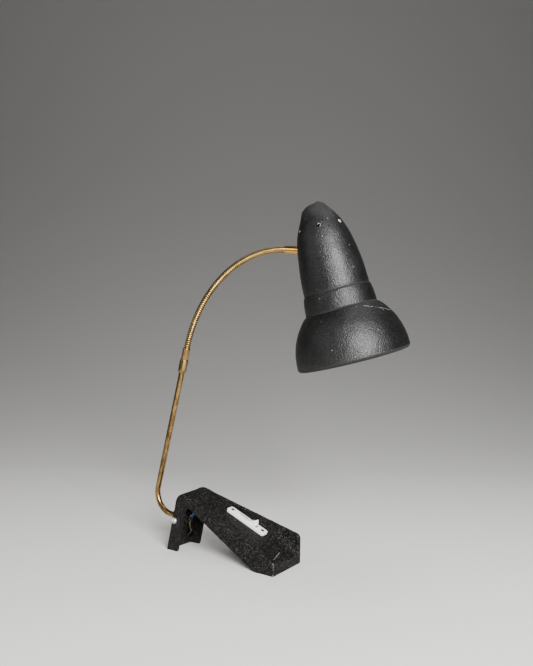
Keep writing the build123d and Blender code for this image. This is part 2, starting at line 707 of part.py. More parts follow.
# Upper ferrule, nipple, washer and lock nut, on the head frame's x axis
nipple_radius = NIPPLE_DIAMETER / 2
ferrule_reach = FERRULE_DIAMETER / 2
ferrule = turned(
    (seat_radius, -FERRULE_LENGTH),
    (FERRULE_DIAMETER / 2, -FERRULE_LENGTH),
    (FERRULE_DIAMETER / 2, ferrule_reach),
    (nipple_radius + FIT, ferrule_reach),
    (nipple_radius + FIT, -NIPPLE_DEPTH),
    (passage, -NIPPLE_DEPTH),
    (passage, NECK_SEAT_DEPTH - FERRULE_LENGTH),
    (seat_radius, NECK_SEAT_DEPTH - FERRULE_LENGTH),
)
# Its end is shaped to sit on the cap's round wall
ferrule = along_head * ferrule - head_frame * Pos(-SEAT, 0, 0) * to_shade * cap_blank
keep("upper_ferrule", ferrule)

# The flat washer bears on the cap's hollow wall at its two edges
wall_radius = entry_radius / math.cos(math.radians(entry_slope)) - SHADE_WALL
washer_rise = wall_radius - math.sqrt(wall_radius**2 - (WASHER_DIAMETER / 2) ** 2)
washer_skew = abs(math.sin(math.radians(HEAD_TILT - entry_slope))) * WASHER_DIAMETER / 2
washer_low = SHADE_WALL + washer_rise + washer_skew + SLIP
bracket_low = washer_low + WASHER_THICKNESS
nut_low = bracket_low + BRACKET_THICKNESS
nipple_end = nut_low + LOCK_NUT_HEIGHT + NIPPLE_STICKS_OUT
nipple_hole = rod(nipple_radius + FIT, -NIPPLE_DEPTH, 2 * nipple_end)
nipple = rod(nipple_radius, SEAT - NIPPLE_DEPTH, nipple_end)
nipple = nipple - rod(NIPPLE_BORE / 2, -NIPPLE_DEPTH, 2 * nipple_end)
keep("shade_nipple", nipple, along_head)
washer = rod(WASHER_DIAMETER / 2, washer_low, bracket_low) - nipple_hole
keep("shade_washer", washer, along_head)
lock_nut = hexagon(LOCK_NUT_ACROSS, nut_low, nut_low + LOCK_NUT_HEIGHT) - nipple_hole
keep("shade_lock_nut", lock_nut, along_head)

# Bracket: a tongue under the lock nut, a leg down the wall and an arm under the lampholder nut
to_head = to_shade.inverse()
leg_middle = bracket_low + BRACKET_THICKNESS / 2
leg_top = (to_head * Pos(leg_middle, 0, BRACKET_WIDTH / 2)).position
leg_knee = (to_head * Pos(leg_middle, 0, -BRACKET_WIDTH / 2)).position
arm_height = -BRACKET_DROP - BRACKET_THICKNESS / 2
bracket_line = Polyline(
    (leg_top.X, leg_top.Z), (leg_knee.X, leg_knee.Z), (leg_knee.X, arm_height), (BRACKET_TIP, arm_height)
)
bracket = extrude(Plane.XZ * trace(bracket_line, BRACKET_THICKNESS), BRACKET_WIDTH / 2, both=True)
bracket = bracket - to_head * Rot(0, 90, 0) * rod(nipple_radius + SLIP, 0, nut_low + BRACKET_THICKNESS)
entry_hole_radius = HOLDER_ENTRY_DIAMETER / 2 + SLIP
bracket = bracket - rod(entry_hole_radius, -BRACKET_DROP - HOLDER_ENTRY_LENGTH, -BRACKET_DROP + SLIP)
keep("holder_bracket", bracket, shade_frame)

# Lampholder, on the shade's axis below the bracket
holder_top = -BRACKET_DROP - BRACKET_THICKNESS
holder_radius = HOLDER_CAP_DIAMETER / 2
entry_radius_holder = HOLDER_ENTRY_DIAMETER / 2
entry_bore = HOLDER_ENTRY_BORE / 2
entry_top = holder_top + BRACKET_THICKNESS + HOLDER_ENTRY_LENGTH
cap_low = holder_top - HOLDER_CAP_LENGTH
holder_inside = holder_radius - HOLDER_CAP_WALL
holder_cap = turned(
    (entry_bore, entry_top),
    (entry_radius_holder, entry_top),
    (entry_radius_holder, holder_top),
    (holder_radius - HOLDER_CAP_WALL, holder_top),
    (holder_radius, holder_top - HOLDER_CAP_WALL),
    (holder_radius, cap_low),
    (holder_inside, cap_low),
    (holder_inside, holder_top - HOLDER_CAP_WALL),
    (entry_bore, holder_top - HOLDER_CAP_WALL),
)
keep("holder_cap", holder_cap, shade_frame)
holder_nut_low = -BRACKET_DROP + SEAT
holder_nut = hexagon(HOLDER_NUT_ACROSS, holder_nut_low, holder_nut_low + HOLDER_NUT_HEIGHT)
holder_nut = holder_nut - rod(entry_radius_holder + FIT, -BRACKET_DROP, entry_top)
keep("holder_nut", holder_nut, shade_frame)

barrel_top = cap_low + BARREL_FLANGE
insert_low = barrel_top + SEAT
insert_top = insert_low + INSERT_THICKNESS
plunger_radius = PLUNGER_DIAMETER / 2
plunger_bore = plunger_radius + RUNNING_FIT
insert = rod(holder_inside - FIT, insert_low, insert_top)
for side in (-1, 1):
    insert = insert - Pos(side * PLUNGER_SPACING / 2, 0, 0) * rod(plunger_bore, 2 * insert_low, insert_top)
keep("holder_insert", insert, shade_frame)

barrel_bore = BARREL_BORE / 2
barrel_radius = barrel_bore + BARREL_WALL
barrel_low = cap_low - BARREL_LENGTH
barrel = turned(
    (barrel_bore, barrel_low),
    (barrel_radius, barrel_low),
    (barrel_radius, cap_low),
    (holder_inside - FIT, cap_low),
    (holder_inside - FIT, barrel_top),
    (barrel_bore, barrel_top),
)
bulb_top = cap_low - PLUNGER_STROKE
pin_height = bulb_top - BULB_PIN_DROP
pin_slot = BULB_PIN_DIAMETER + 2 * SLIP
for turn in (0, 180):
    slot = Pos(barrel_radius, 0, (pin_height + barrel_low) / 2)
    slot = slot * Box(2 * barrel_radius, pin_slot, pin_height - barrel_low + pin_slot)
    slot = slot & rod(2 * barrel_radius, barrel_low - SEAT, pin_height + pin_slot / 2)
    barrel = barrel - Rot(0, 0, turn + 90) * slot
keep("holder_barrel", barrel, shade_frame)

plunger_tip = bulb_top + BULB_CONTACT_HEIGHT + SEAT
plunger_top = insert_low + INSERT_THICKNESS / 2
plunger = rod(plunger_radius, plunger_tip, plunger_top)
spring = rod(plunger_radius, plunger_top + SEAT, insert_top)
spring = spring - rod(plunger_radius - PLUNGER_SPRING_WALL, plunger_top, 2 * insert_top - plunger_top)
pair = [Pos(side * PLUNGER_SPACING / 2, 0, 0) for side in (-1, 1)]
keep("contact_plungers", pair[0] * plunger + pair[1] * plunger, shade_frame)
keep("plunger_springs", pair[0] * spring + pair[1] * spring, shade_frame)

# Bulb
bulb_cap_radius = BULB_CAP_DIAMETER / 2
bulb_cap_low = bulb_top - BULB_CAP_LENGTH
bulb_cap = turned(
    (0, bulb_top),
    (bulb_cap_radius - BULB_CAP_WALL, bulb_top),
    (bulb_cap_radius, bulb_top - BULB_CAP_WALL),
    (bulb_cap_radius, bulb_cap_low),
    (bulb_cap_radius - BULB_CAP_WALL, bulb_cap_low),
    (bulb_cap_radius - BULB_CAP_WALL, bulb_top - 2 * BULB_CAP_WALL),
    (0, bulb_top - 2 * BULB_CAP_WALL),
)
bulb_pin_reach = barrel_radius + BULB_PIN_DIAMETER / 2
pin_rod = Rot(90, 0, 0) * Cylinder(BULB_PIN_DIAMETER / 2, 2 * bulb_pin_reach)
pins = Pos(0, 0, pin_height) * pin_rod - rod(bulb_cap_radius - BULB_CAP_WALL, bulb_cap_low, bulb_top)
bulb_cap = bulb_cap + pins
keep("bulb_cap", bulb_cap, shade_frame)
bulb_contact = rod(BULB_CONTACT_DIAMETER / 2, bulb_top, bulb_top + BULB_CONTACT_HEIGHT)
keep("bulb_contacts", pair[0] * bulb_contact + pair[1] * bulb_contact, shade_frame)

bulb_radius = BULB_DIAMETER / 2
bulb_low = bulb_top - BULB_LENGTH
globe_height = bulb_low + bulb_radius
glass_neck = BULB_NECK_DIAMETER / 2
glass_top = bulb_cap_low + BULB_CAP_LENGTH / 2
neck_foot = Vector(glass_neck, 0, bulb_cap_low)
glass_outer = [Line(Vector(glass_neck, 0, glass_top), neck_foot)]
globe_side = Vector(bulb_radius, 0, globe_height)
flare_foot = (neck_foot + globe_side) / 2
glass_outer += arc_chain([neck_foot, flare_foot], Vector(0, 0, -1))
globe_arc = TangentArc(globe_side, flare_foot, tangent=Vector(0, 0, 1))
bottom_arc = TangentArc(globe_side, Vector(0, 0, bulb_low), tangent=Vector(0, 0, -1))
outer_face_edges = [edge for arc in glass_outer for edge in arc.edges()]
outer_face_edges += globe_arc.edges()
outer_face_edges += bottom_arc.edges()
outer_face_edges += Polyline((0, 0, bulb_low), (0, 0, glass_top), (glass_neck, 0, glass_top)).edges()
glass_solid = revolve(make_face(outer_face_edges), Axis.Z)
glass = glass_solid - offset(glass_solid, -BULB_GLASS_WALL)
keep("bulb_glass", glass, shade_frame)

# Glass stem with its lead wires and filament, standing in the bulb's neck
inside_top = glass_top - BULB_GLASS_WALL
filament_height = bulb_top - FILAMENT_DROP
stem_foot_height = filament_height + FILAMENT_SPAN / 2
stem_glass = turned(
    (0, inside_top - SEAT),
    (glass_neck - 2 * BULB_GLASS_WALL, inside_top - SEAT),
    (2 * FILAMENT_WIRE, inside_top - BULB_CAP_LENGTH / 2),
    (2 * FILAMENT_WIRE, stem_foot_height),
    (0, stem_foot_height),
)
lead_foot = 2 * FILAMENT_WIRE
filament_line = FilletPolyline(
    (-lead_foot / 2, 0, stem_foot_height - FILAMENT_WIRE / 2),
    (-FILAMENT_SPAN / 2, 0, filament_height),
    (0, 0, filament_height - lead_foot),
    (FILAMENT_SPAN / 2, 0, filament_height),
    (lead_foot / 2, 0, stem_foot_height - FILAMENT_WIRE / 2),
    radius=lead_foot,
)
keep("bulb_stem", stem_glass, shade_frame)
keep("bulb_filament", tube(filament_line, FILAMENT_WIRE / 2), shade_frame)

# Switch plate, with the rocker's slot, notches for its pin and two countersunk holes
plate_outline = RectangleRounded(SWITCH_LENGTH, SWITCH_WIDTH, SWITCH_CORNER_RADIUS)
plate = extrude(plate_outline, SWITCH_PLATE_HEIGHT)
plate = fillet(plate.faces().sort_by(Axis.Z)[-1].edges(), SWITCH_EDGE_RADIUS)
pivot_height = SWITCH_PLATE_HEIGHT - ROCKER_PIVOT_DEPTH
pin_radius = ROCKER_PIN_DIAMETER / 2
pin_length = box_width - SWITCH_BOX_WALL
plate = plate - Pos(0, 0, SWITCH_PLATE_HEIGHT / 2) * Box(
    2 * slot_half_length, slot_width, 2 * SWITCH_PLATE_HEIGHT
)
pin_notch = Pos(0, 0, pivot_height) * Rot(90, 0, 0) * Cylinder(pin_radius + FIT, pin_length + 2 * SEAT)
notch_foot = Pos(0, 0, pivot_height / 2) * Box(2 * (pin_radius + FIT), pin_length + 2 * SEAT, pivot_height)
plate = plate - pin_notch - notch_foot
head_radius = SWITCH_SCREW_HEAD_DIAMETER / 2
shank_radius = SWITCH_SCREW_DIAMETER / 2
head_height = head_radius - shank_radius
screw_cone = Cone(shank_radius, head_radius, head_height)
countersink = Cone(shank_radius + RUNNING_FIT, head_radius + RUNNING_FIT, head_height)
countersink_middle = SWITCH_PLATE_HEIGHT - head_height / 2
screw_places = [Pos(side * SWITCH_SCREW_SPACING / 2, 0, 0) for side in (-1, 1)]
for place in screw_places:
    plate = plate - place * rod(shank_radius + FIT, -SEAT, SWITCH_PLATE_HEIGHT + SEAT)
    plate = plate - place * Pos(0, 0, countersink_middle) * countersink
plate_place = deck_frame * Pos(0, 0, SEAT)
keep("switch_plate", plate, plate_place)

screw_head = slotted(screw_cone, head_height / 2, SWITCH_SCREW_HEAD_DIAMETER, head_height)
screw_low = SWITCH_PLATE_HEIGHT - SWITCH_SCREW_LENGTH
switch_screw = Pos(0, 0, countersink_middle) * screw_head
switch_screw = switch_screw + rod(shank_radius, screw_low, SWITCH_PLATE_HEIGHT - head_height)
keep("switch_screws", screw_places[0] * switch_screw + screw_places[1] * switch_screw, plate_place)

# Switch box under the plate, with its back plate, contact leaf and terminals
box = Pos(0, 0, -SWITCH_BOX_DEPTH / 2) * Box(box_length, box_width, SWITCH_BOX_DEPTH)
cavity_length = box_length - 2 * SWITCH_BOX_WALL
box = box - Pos(0, 0, -SWITCH_BOX_DEPTH / 2) * Box(cavity_length, slot_width, 2 * SWITCH_BOX_DEPTH)
keep("switch_box", box, deck_frame)
keep("rocker_pin", Pos(0, 0, pivot_height) * Rot(90, 0, 0) * Cylinder(pin_radius, pin_length), deck_frame)

# Rocker: concave top, hub on the pin and a cam below; it rests with its front end up
rocker_half = ROCKER_LENGTH / 2
rocker_edges = ThreePointArc(
    (-rocker_half, ROCKER_END_HEIGHT), (0, ROCKER_MIDDLE_HEIGHT), (rocker_half, ROCKER_END_HEIGHT)
).edges()
rocker_edges += Polyline(
    (rocker_half, ROCKER_END_HEIGHT),
    (rocker_half, -ROCKER_UNDERSIDE),
    (-rocker_half, -ROCKER_UNDERSIDE),
    (-rocker_half, ROCKER_END_HEIGHT),
).edges()
rocker_outline = make_face(rocker_edges) + Circle(ROCKER_HUB_DIAMETER / 2)
cam_radius = ROCKER_CAM_DIAMETER / 2
cam_length = ROCKER_CAM_REACH - cam_radius
cam = Pos(ROCKER_CAM_OFFSET, -cam_length / 2) * Rectangle(ROCKER_CAM_DIAMETER, cam_length)
cam = cam + Pos(ROCKER_CAM_OFFSET, -cam_length) * Circle(cam_radius)
rocker_outline = rocker_outline + cam - Circle(pin_radius + RUNNING_FIT)
rocker = extrude(Plane.XZ * rocker_outline, ROCKER_WIDTH / 2, both=True)
top_edges = [
    edge
    for edge in rocker.edges()
    if (edge @ 0.5).Z > ROCKER_UNDERSIDE + pin_radius and abs((edge @ 0).Z - (edge @ 1).Z) < SEAT
]
rocker = fillet(top_edges, SWITCH_EDGE_RADIUS / 2)
keep("switch_rocker", rocker, deck_frame * Pos(0, 0, pivot_height) * Rot(0, -ROCKER_TILT, 0))

tilt = math.radians(ROCKER_TILT)
cam_sweep = math.hypot(ROCKER_CAM_OFFSET, cam_length)
cam_angle = math.atan2(ROCKER_CAM_OFFSET, cam_length) - tilt
cam_low = cam_sweep * math.cos(cam_angle) + cam_radius
leaf_top = pivot_height - cam_low - SLIP
leaf_low = leaf_top - LEAF_THICKNESS
leaf_length = POST_SPACING + POST_DIAMETER
leaf_middle = (leaf_top + leaf_low) / 2
keep("contact_leaf", Pos(0, 0, leaf_middle) * Box(leaf_length, LEAF_WIDTH, LEAF_THICKNESS), deck_frame)
back_low = -SWITCH_BOX_DEPTH
back_top = back_low + SWITCH_BACK_THICKNESS
back = Pos(0, 0, (back_low + back_top) / 2) * Box(
    cavity_length - 2 * SEAT, slot_width - 2 * SEAT, SWITCH_BACK_THICKNESS
)
post_radius = POST_DIAMETER / 2
post_places = [Pos(side * POST_SPACING / 2, 0, 0) for side in (-1, 1)]
post_tops = [leaf_low, leaf_low - CONTACT_GAP]
core_radius = CORE_DIAMETER / 2
terminal_middle = back_low - TERMINAL_SIZE / 2 - SEAT
core_hole = Rot(0, 90, 0) * Cylinder(core_radius + FIT, 2 * TERMINAL_SIZE)
terminals = []
terminal_screws = []
for place, top in zip(post_places, post_tops):
    back = back - place * rod(post_radius + FIT, 2 * back_low, back_top + SEAT)
    terminal = Pos(0, 0, terminal_middle) * (Box(TERMINAL_SIZE, TERMINAL_SIZE, TERMINAL_SIZE) - core_hole)
    grub_hole = rod(TERMINAL_SCREW_DIAMETER / 2 + FIT, terminal_middle - TERMINAL_SIZE, terminal_middle)
    terminal = terminal + rod(post_radius, terminal_middle + TERMINAL_SIZE / 2, top) - grub_hole
    terminals.append(place * terminal)
    grub_low = terminal_middle - TERMINAL_SIZE / 2
    grub = rod(TERMINAL_SCREW_DIAMETER / 2, grub_low, terminal_middle - core_radius - SEAT)
    terminal_screws.append(place * grub)
keep("switch_back", back, deck_frame)
keep("switch_terminals", terminals[0] + terminals[1], deck_frame)
keep("terminal_screws", terminal_screws[0] + terminal_screws[1], deck_frame)

# Connector block under the deck, where a supply lead is joined on
block = Pos(0, 0, -BLOCK_HEIGHT / 2) * Box(BLOCK_LENGTH, BLOCK_WIDTH, BLOCK_HEIGHT)
block_middle = -BLOCK_HEIGHT / 2
way_places = [Pos(0, side * BLOCK_WAYS_SPACING / 2, block_middle) for side in (-1, 1)]
way_hole = Rot(0, 90, 0) * Cylinder(core_radius + FIT, 2 * BLOCK_LENGTH)
block_screw_radius = BLOCK_SCREW_DIAMETER / 2
way_screws = []
for place in way_places:
    block = block - place * way_hole
    block = block - place * rod(TERMINAL_SCREW_DIAMETER / 2 + FIT, -BLOCK_HEIGHT, 0)
    way_screws.append(place * rod(TERMINAL_SCREW_DIAMETER / 2, block_middle, -core_radius - SEAT))
block = block - rod(block_screw_radius + FIT, -2 * BLOCK_HEIGHT, BLOCK_HEIGHT)
keep("connector_block", block, block_place * Pos(0, 0, -SEAT))
keep("connector_screws", way_screws[0] + way_screws[1], block_place * Pos(0, 0, -SEAT))
block_head = Rot(180, 0, 0) * slotted(
    rod(BLOCK_SCREW_HEAD / 2, 0, block_screw_radius), block_screw_radius, BLOCK_SCREW_HEAD, block_screw_radius
)
block_screw = Pos(0, 0, -BLOCK_HEIGHT - 2 * SEAT) * block_head
block_screw = block_screw + rod(block_screw_radius, -BLOCK_HEIGHT - 2 * SEAT, block_thread - SEAT)
keep("block_screw", block_screw, block_place)

# Earth screw and ring tag on the leg's rear wall
earth_radius = EARTH_SCREW_DIAMETER / 2
tag_top = SEAT + EARTH_TAG_THICKNESS
earth_head = slotted(
    rod(EARTH_SCREW_HEAD / 2, 0, EARTH_SCREW_HEAD_HEIGHT),
    EARTH_SCREW_HEAD_HEIGHT,
    EARTH_SCREW_HEAD,
    EARTH_SCREW_HEAD_HEIGHT,
)
earth_screw = Pos(0, 0, tag_top + SEAT) * earth_head
earth_screw = earth_screw + rod(earth_radius, SEAT - earth_thread, tag_top + 2 * SEAT)
keep("earth_screw", earth_screw, earth_place)
tag_reach = EARTH_SCREW_HEAD
tag = rod(EARTH_SCREW_HEAD / 2, SEAT, tag_top)
tag_tail = Pos(0, tag_reach / 2, (SEAT + tag_top) / 2) * Box(CORE_DIAMETER, tag_reach, EARTH_TAG_THICKNESS)
tag = tag + tag_tail - rod(earth_radius + FIT, 0, 2 * tag_top)
keep("earth_tag", tag, earth_place)

# Cores: straight runs joined by large tangent arcs


def core(points):
    """Round insulated core through points, each arc as large as its two runs allow."""
    route = [Vector(*point) for point in points]
    radii = []
    for before, here, after in zip(route, route[1:], route[2:]):
        turn = math.radians((here - before).get_angle(after - here))
        shorter = min((here - before).length, (after - here).length)
        radii.append(ARC_SHARE * shorter / math.tan(turn / 2))
    print("core arc radii", [round(radius, 1) for radius in radii])
    return tube(FilletPolyline(*route, radius=radii), core_radius)


def stem_core_start(turn):
    """First two points of a core that leaves the stem's open end, at a place round its bore."""
    across = CORE_SPREAD * math.cos(math.radians(turn))
    up = STEM_HEIGHT + CORE_SPREAD * math.sin(math.radians(turn))
    inside = stem_end.X - STEM_DIAMETER
    return [(inside, across, up), (stem_end.X + CORE_DIAMETER, across, up)]


def deck_point(x, y, z):
    """Point given on the deck frame."""
    place = (deck_frame * Pos(x, y, z)).position
    return (place.X, place.Y, place.Z)


way_height = -DECK_THICKNESS + block_middle - SEAT
near_way = -SWITCH_SIDE_OFFSET - BLOCK_WAYS_SPACING / 2
far_way = -SWITCH_SIDE_OFFSET + BLOCK_WAYS_SPACING / 2
block_rear = -BLOCK_SETBACK - BLOCK_LENGTH / 2
block_front = -BLOCK_SETBACK + BLOCK_LENGTH / 2
terminal_rear = -POST_SPACING / 2 - TERMINAL_SIZE / 2
terminal_front = POST_SPACING / 2 - TERMINAL_SIZE / 2
pushed_in = TERMINAL_SIZE / 2

neutral_route = stem_core_start(NEUTRAL_TURN) + [
    (stem_end.X + 9, -5, STEM_HEIGHT + 9),
    deck_point(block_rear - 9, near_way, way_height - 1),
    deck_point(block_rear - 1, near_way, way_height),
    deck_point(block_rear + pushed_in, near_way, way_height),
]
keep("neutral_core", core(neutral_route))
switched_route = stem_core_start(SWITCHED_TURN) + [
    (stem_end.X + 10, 3, STEM_HEIGHT + 10),
    deck_point(block_rear - 2, 4, way_height - 2),
    deck_point(block_front + 4, 3, terminal_middle + 4),
    deck_point(terminal_rear - 7, 0, terminal_middle),
    deck_point(terminal_rear + pushed_in, 0, terminal_middle),
]
keep("switched_live_core", core(switched_route))
feed_route = [
    deck_point(block_front - pushed_in, far_way, way_height),
    deck_point(block_front + 6, far_way, way_height),
    deck_point(block_front + 16, far_way - 1, way_height - 4),
    deck_point(-4, far_way, terminal_middle - 1),
    deck_point(terminal_front - 7, 0, terminal_middle),
    deck_point(terminal_front + pushed_in, 0, terminal_middle),
]
keep("live_feed_core", core(feed_route))
tag_near = EARTH_SCREW_HEAD / 2 + SLIP
tag_end = (earth_place * Pos(0, tag_near, tag_top + SEAT + core_radius)).position
earth_route = stem_core_start(EARTH_TURN) + [
    (stem_end.X + 5, -5, STEM_HEIGHT - 1),
    (stem_end.X + 5, -8, STEM_HEIGHT - 5.5),
    (stem_end.X + 6, -7, STEM_HEIGHT - 11.5),
    (stem_end.X + 4, -2.5, STEM_HEIGHT - 17),
    (tag_end.X + 9, tag_end.Y - 8, tag_end.Z + 4.5),
    (tag_end.X + 1.5, tag_end.Y - 5.5, tag_end.Z + 0.5),
    (tag_end.X, tag_end.Y, tag_end.Z),
]
keep("earth_core", core(earth_route))

# Cores inside the head, from the nipple over into the lampholder's entry
nipple_mouth = (to_head * Pos(nipple_end, 0, 0)).position
nipple_inside = (to_head * Pos(nipple_end - NIPPLE_DEPTH, 0, 0)).position
for name, side in (("head_live_core", 1), ("head_neutral_core", -1)):
    y = side * (core_radius + SEAT)
    loop_top = nipple_mouth.Z + HOLDER_ENTRY_LENGTH
    head_route = [
        (nipple_inside.X, y, nipple_inside.Z),
        (nipple_mouth.X, y, nipple_mouth.Z),
        (nipple_mouth.X + 8, y, nipple_mouth.Z + 4),
        (nipple_mouth.X + 15, y, loop_top - 4),
        (-2, y, nipple_mouth.Z),
        (0, y, entry_top + 6),
        (0, y, entry_top - HOLDER_ENTRY_LENGTH / 2),
    ]
    keep(name, core(head_route), shade_frame)

for name, solid in nodes.items():
    export_step(solid, f"parts/{name}.step")
print(len(nodes), "nodes")
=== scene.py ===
# %% [markdown]
# A gooseneck desk lamp, dressed in Blender.
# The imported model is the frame: it says where every piece is and how it moves.
# Each step below takes one piece or one finish of the real lamp and makes it on that frame.

# %% Load the frame
import json
import math

import bmesh
import bpy
from mathutils import Matrix, Vector, noise


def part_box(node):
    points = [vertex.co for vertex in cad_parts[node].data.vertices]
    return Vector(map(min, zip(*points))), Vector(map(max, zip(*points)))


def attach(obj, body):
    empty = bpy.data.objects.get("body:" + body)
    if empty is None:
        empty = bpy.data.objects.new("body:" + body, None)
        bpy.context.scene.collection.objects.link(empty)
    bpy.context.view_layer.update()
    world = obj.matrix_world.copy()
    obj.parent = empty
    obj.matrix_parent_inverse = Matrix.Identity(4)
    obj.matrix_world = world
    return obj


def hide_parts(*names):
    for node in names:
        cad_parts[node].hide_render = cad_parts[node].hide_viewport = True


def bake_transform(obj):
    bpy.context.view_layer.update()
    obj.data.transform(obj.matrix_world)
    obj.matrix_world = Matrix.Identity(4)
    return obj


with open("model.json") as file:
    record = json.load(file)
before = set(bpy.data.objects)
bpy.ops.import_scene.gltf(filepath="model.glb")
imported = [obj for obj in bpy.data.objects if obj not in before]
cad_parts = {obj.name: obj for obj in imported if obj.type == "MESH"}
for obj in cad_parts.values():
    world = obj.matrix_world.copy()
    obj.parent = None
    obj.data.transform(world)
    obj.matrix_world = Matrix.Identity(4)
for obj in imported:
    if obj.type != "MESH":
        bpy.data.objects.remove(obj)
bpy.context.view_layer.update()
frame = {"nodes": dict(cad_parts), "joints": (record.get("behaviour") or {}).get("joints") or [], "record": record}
nodes = frame["nodes"]
joints = {joint["name"]: joint for joint in frame["joints"]}
collection = bpy.context.scene.collection
MM = 0.001

# %% [markdown]
# The camera comes first, because it stands where the photograph was taken. The lens is
# level and stands a little above the middle of the lamp. The picture is shifted upwards, as when a
# photographer keeps the camera level and crops, and it leans by one degree.

# %% Camera
PICTURE_WIDTH = 533
PICTURE_HEIGHT = 666
FOCAL_PIXELS = 580.0
CENTRE_PIXEL = (271.8, 373.6)
CAMERA_PLACE = Vector((0.3953, -0.6347, 0.250))
CAMERA_LOOK = Vector((-0.541, 0.8406, 0.0))
CAMERA_ROLL = 0.0177
SENSOR_HEIGHT = 36.0

camera_data = bpy.data.cameras.new("camera")
camera_data.sensor_fit = "VERTICAL"
camera_data.sensor_height = SENSOR_HEIGHT
camera_data.lens = SENSOR_HEIGHT * FOCAL_PIXELS / PICTURE_HEIGHT
camera_data.shift_x = (PICTURE_WIDTH / 2 - CENTRE_PIXEL[0]) / PICTURE_HEIGHT
camera_data.shift_y = (CENTRE_PIXEL[1] - PICTURE_HEIGHT / 2) / PICTURE_HEIGHT
camera = bpy.data.objects.new("camera", camera_data)
collection.objects.link(camera)
look = CAMERA_LOOK.to_track_quat("-Z", "Y").to_matrix().to_4x4()
camera.matrix_world = Matrix.Translation(CAMERA_PLACE) @ look @ Matrix.Rotation(CAMERA_ROLL, 4, "Z")
bpy.context.scene.camera = camera
print("camera lens", round(camera_data.lens, 1), "mm")

# %% [markdown]
# A few helpers are used by every piece. A bmesh is turned into an object that sits at the origin, so
# that its place is in its mesh, and its shading is smooth except at real corners. Anything round about
# an axis is spun from its outline, as it would be turned on a lathe.

# %% Helpers for pieces
CORNER_ANGLE = math.radians(38)
MERGE = 0.005 * MM


def as_object(name, shape):
    """Object at the origin from a bmesh, which is used up."""
    mesh = bpy.data.meshes.new(name)
    shape.to_mesh(mesh)
    shape.free()
    piece = bpy.data.objects.new(name, mesh)
    collection.objects.link(piece)
    return piece


def make_piece(name, shape, materials, body=None, corner=CORNER_ANGLE):
    """Object from a bmesh, with its materials and the body that it rides on, if one."""
    piece = as_object(name, shape)
    for material in materials:
        piece.data.materials.append(material)
    piece.data.shade_smooth()
    piece.data.set_sharp_from_angle(angle=corner)
    if body:
        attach(piece, body)
    print(name, len(piece.data.polygons), "faces")
    return piece


def put(shape, matrix):
    """Move a bmesh to its place."""
    bmesh.ops.transform(shape, matrix=matrix, verts=shape.verts)


def weld(shape):
    """Merge the points of a bmesh that lie on each other."""
    bmesh.ops.remove_doubles(shape, verts=shape.verts, dist=MERGE)


def face_outwards(shape):
    """Make the faces of a bmesh look outwards."""
    bmesh.ops.recalc_face_normals(shape, faces=shape.faces)


def spun(profile, steps):
    """Closed bmesh turned about Z from a closed loop of (radius, height) points."""
    shape = bmesh.new()
    loop = [shape.verts.new((radius, 0, height)) for radius, height in profile]
    for start, end in zip(loop, loop[1:] + loop[:1]):
        shape.edges.new((start, end))
    geom = shape.verts[:] + shape.edges[:]
    bmesh.ops.spin(
        shape, geom=geom, cent=(0, 0, 0), axis=(0, 0, 1), angle=2 * math.pi, steps=steps, use_merge=True
    )
    weld(shape)
    face_outwards(shape)
    return shape


# %% [markdown]
# Materials. Each finish is a small node tree on Object coordinates, in metres, so a grain of one
# millimetre has a scale of about a thousand. A noise keeps mostly to the middle of its range, so that
# part of it is spread over the values that are wanted.

# %% Helpers for materials
NOISE_LOW = 0.3
NOISE_HIGH = 0.7


def start_material(name):
    """New material: its tree, its shader, a function that adds a node, and the Object coordinates."""
    material = bpy.data.materials.new(name)
    material.use_nodes = True
    tree = material.node_tree

    def add(kind, inputs=None, **settings):
        node = tree.nodes.new(kind)
        for key, value in settings.items():
            setattr(node, key, value)
        for key, value in (inputs or {}).items():
            if isinstance(value, bpy.types.NodeSocket):
                tree.links.new(value, node.inputs[key])
            else:
                node.inputs[key].default_value = value
        return node

    place = add("ShaderNodeTexCoord").outputs["Object"]
    return material, tree, tree.nodes["Principled BSDF"], add, place


def wire(tree, shader, **sockets):
    """Link values to the shader's sockets, named with underscores for spaces."""
    for name, value in sockets.items():
        tree.links.new(value, shader.inputs[name.replace("_", " ")])


def colour_ramp(add, value, stops):
    """Colour from a value, between two (position, colour) stops."""
    node = add("ShaderNodeValToRGB", {"Fac": value})
    for element, (position, colour) in zip(node.color_ramp.elements, stops):
        element.position = position
        element.color = (*colour, 1)
    return node.outputs["Color"]


def spread(add, value, start, end, low=0.0, high=1.0):
    """Value between start and end moved to the range from low to high, and held there."""
    inputs = {"Value": value, "From Min": start, "From Max": end, "To Min": low, "To Max": high}
    return add("ShaderNodeMapRange", inputs).outputs["Result"]


def cloud(add, place, scale, detail=4.0, roughness=0.6):
    """Noise with a number of blobs in a metre."""
    inputs = {"Vector": place, "Scale": scale, "Detail": detail, "Roughness": roughness}
    return add("ShaderNodeTexNoise", inputs).outputs["Fac"]


def uneven(add, noise_value, low, high):
    """The usual range of a noise spread to the range from low to high."""
    return spread(add, noise_value, NOISE_LOW, NOISE_HIGH, low, high)


def marked(add, name):
    """Value that a piece carries on its points, and 0 on a piece without it."""
    return add("ShaderNodeAttribute", attribute_name=name).outputs["Fac"]


def relief(add, height, strength, depth):
    """Normal that is bent by a height, as by a bump."""
    inputs = {"Height": height, "Strength": strength, "Distance": depth}
    return add("ShaderNodeBump", inputs).outputs["Normal"]


def two_colours(add, share, first, second):
    """Mix of two colours by a share."""
    return add("ShaderNodeMix", {"Factor": share, 6: first, 7: second}, data_type="RGBA").outputs[2]


def sum_of(add, first, second, operation="ADD"):
    """Sum, or another operation, of two values."""
    return add("ShaderNodeMath", {0: first, 1: second}, operation=operation).outputs[0]
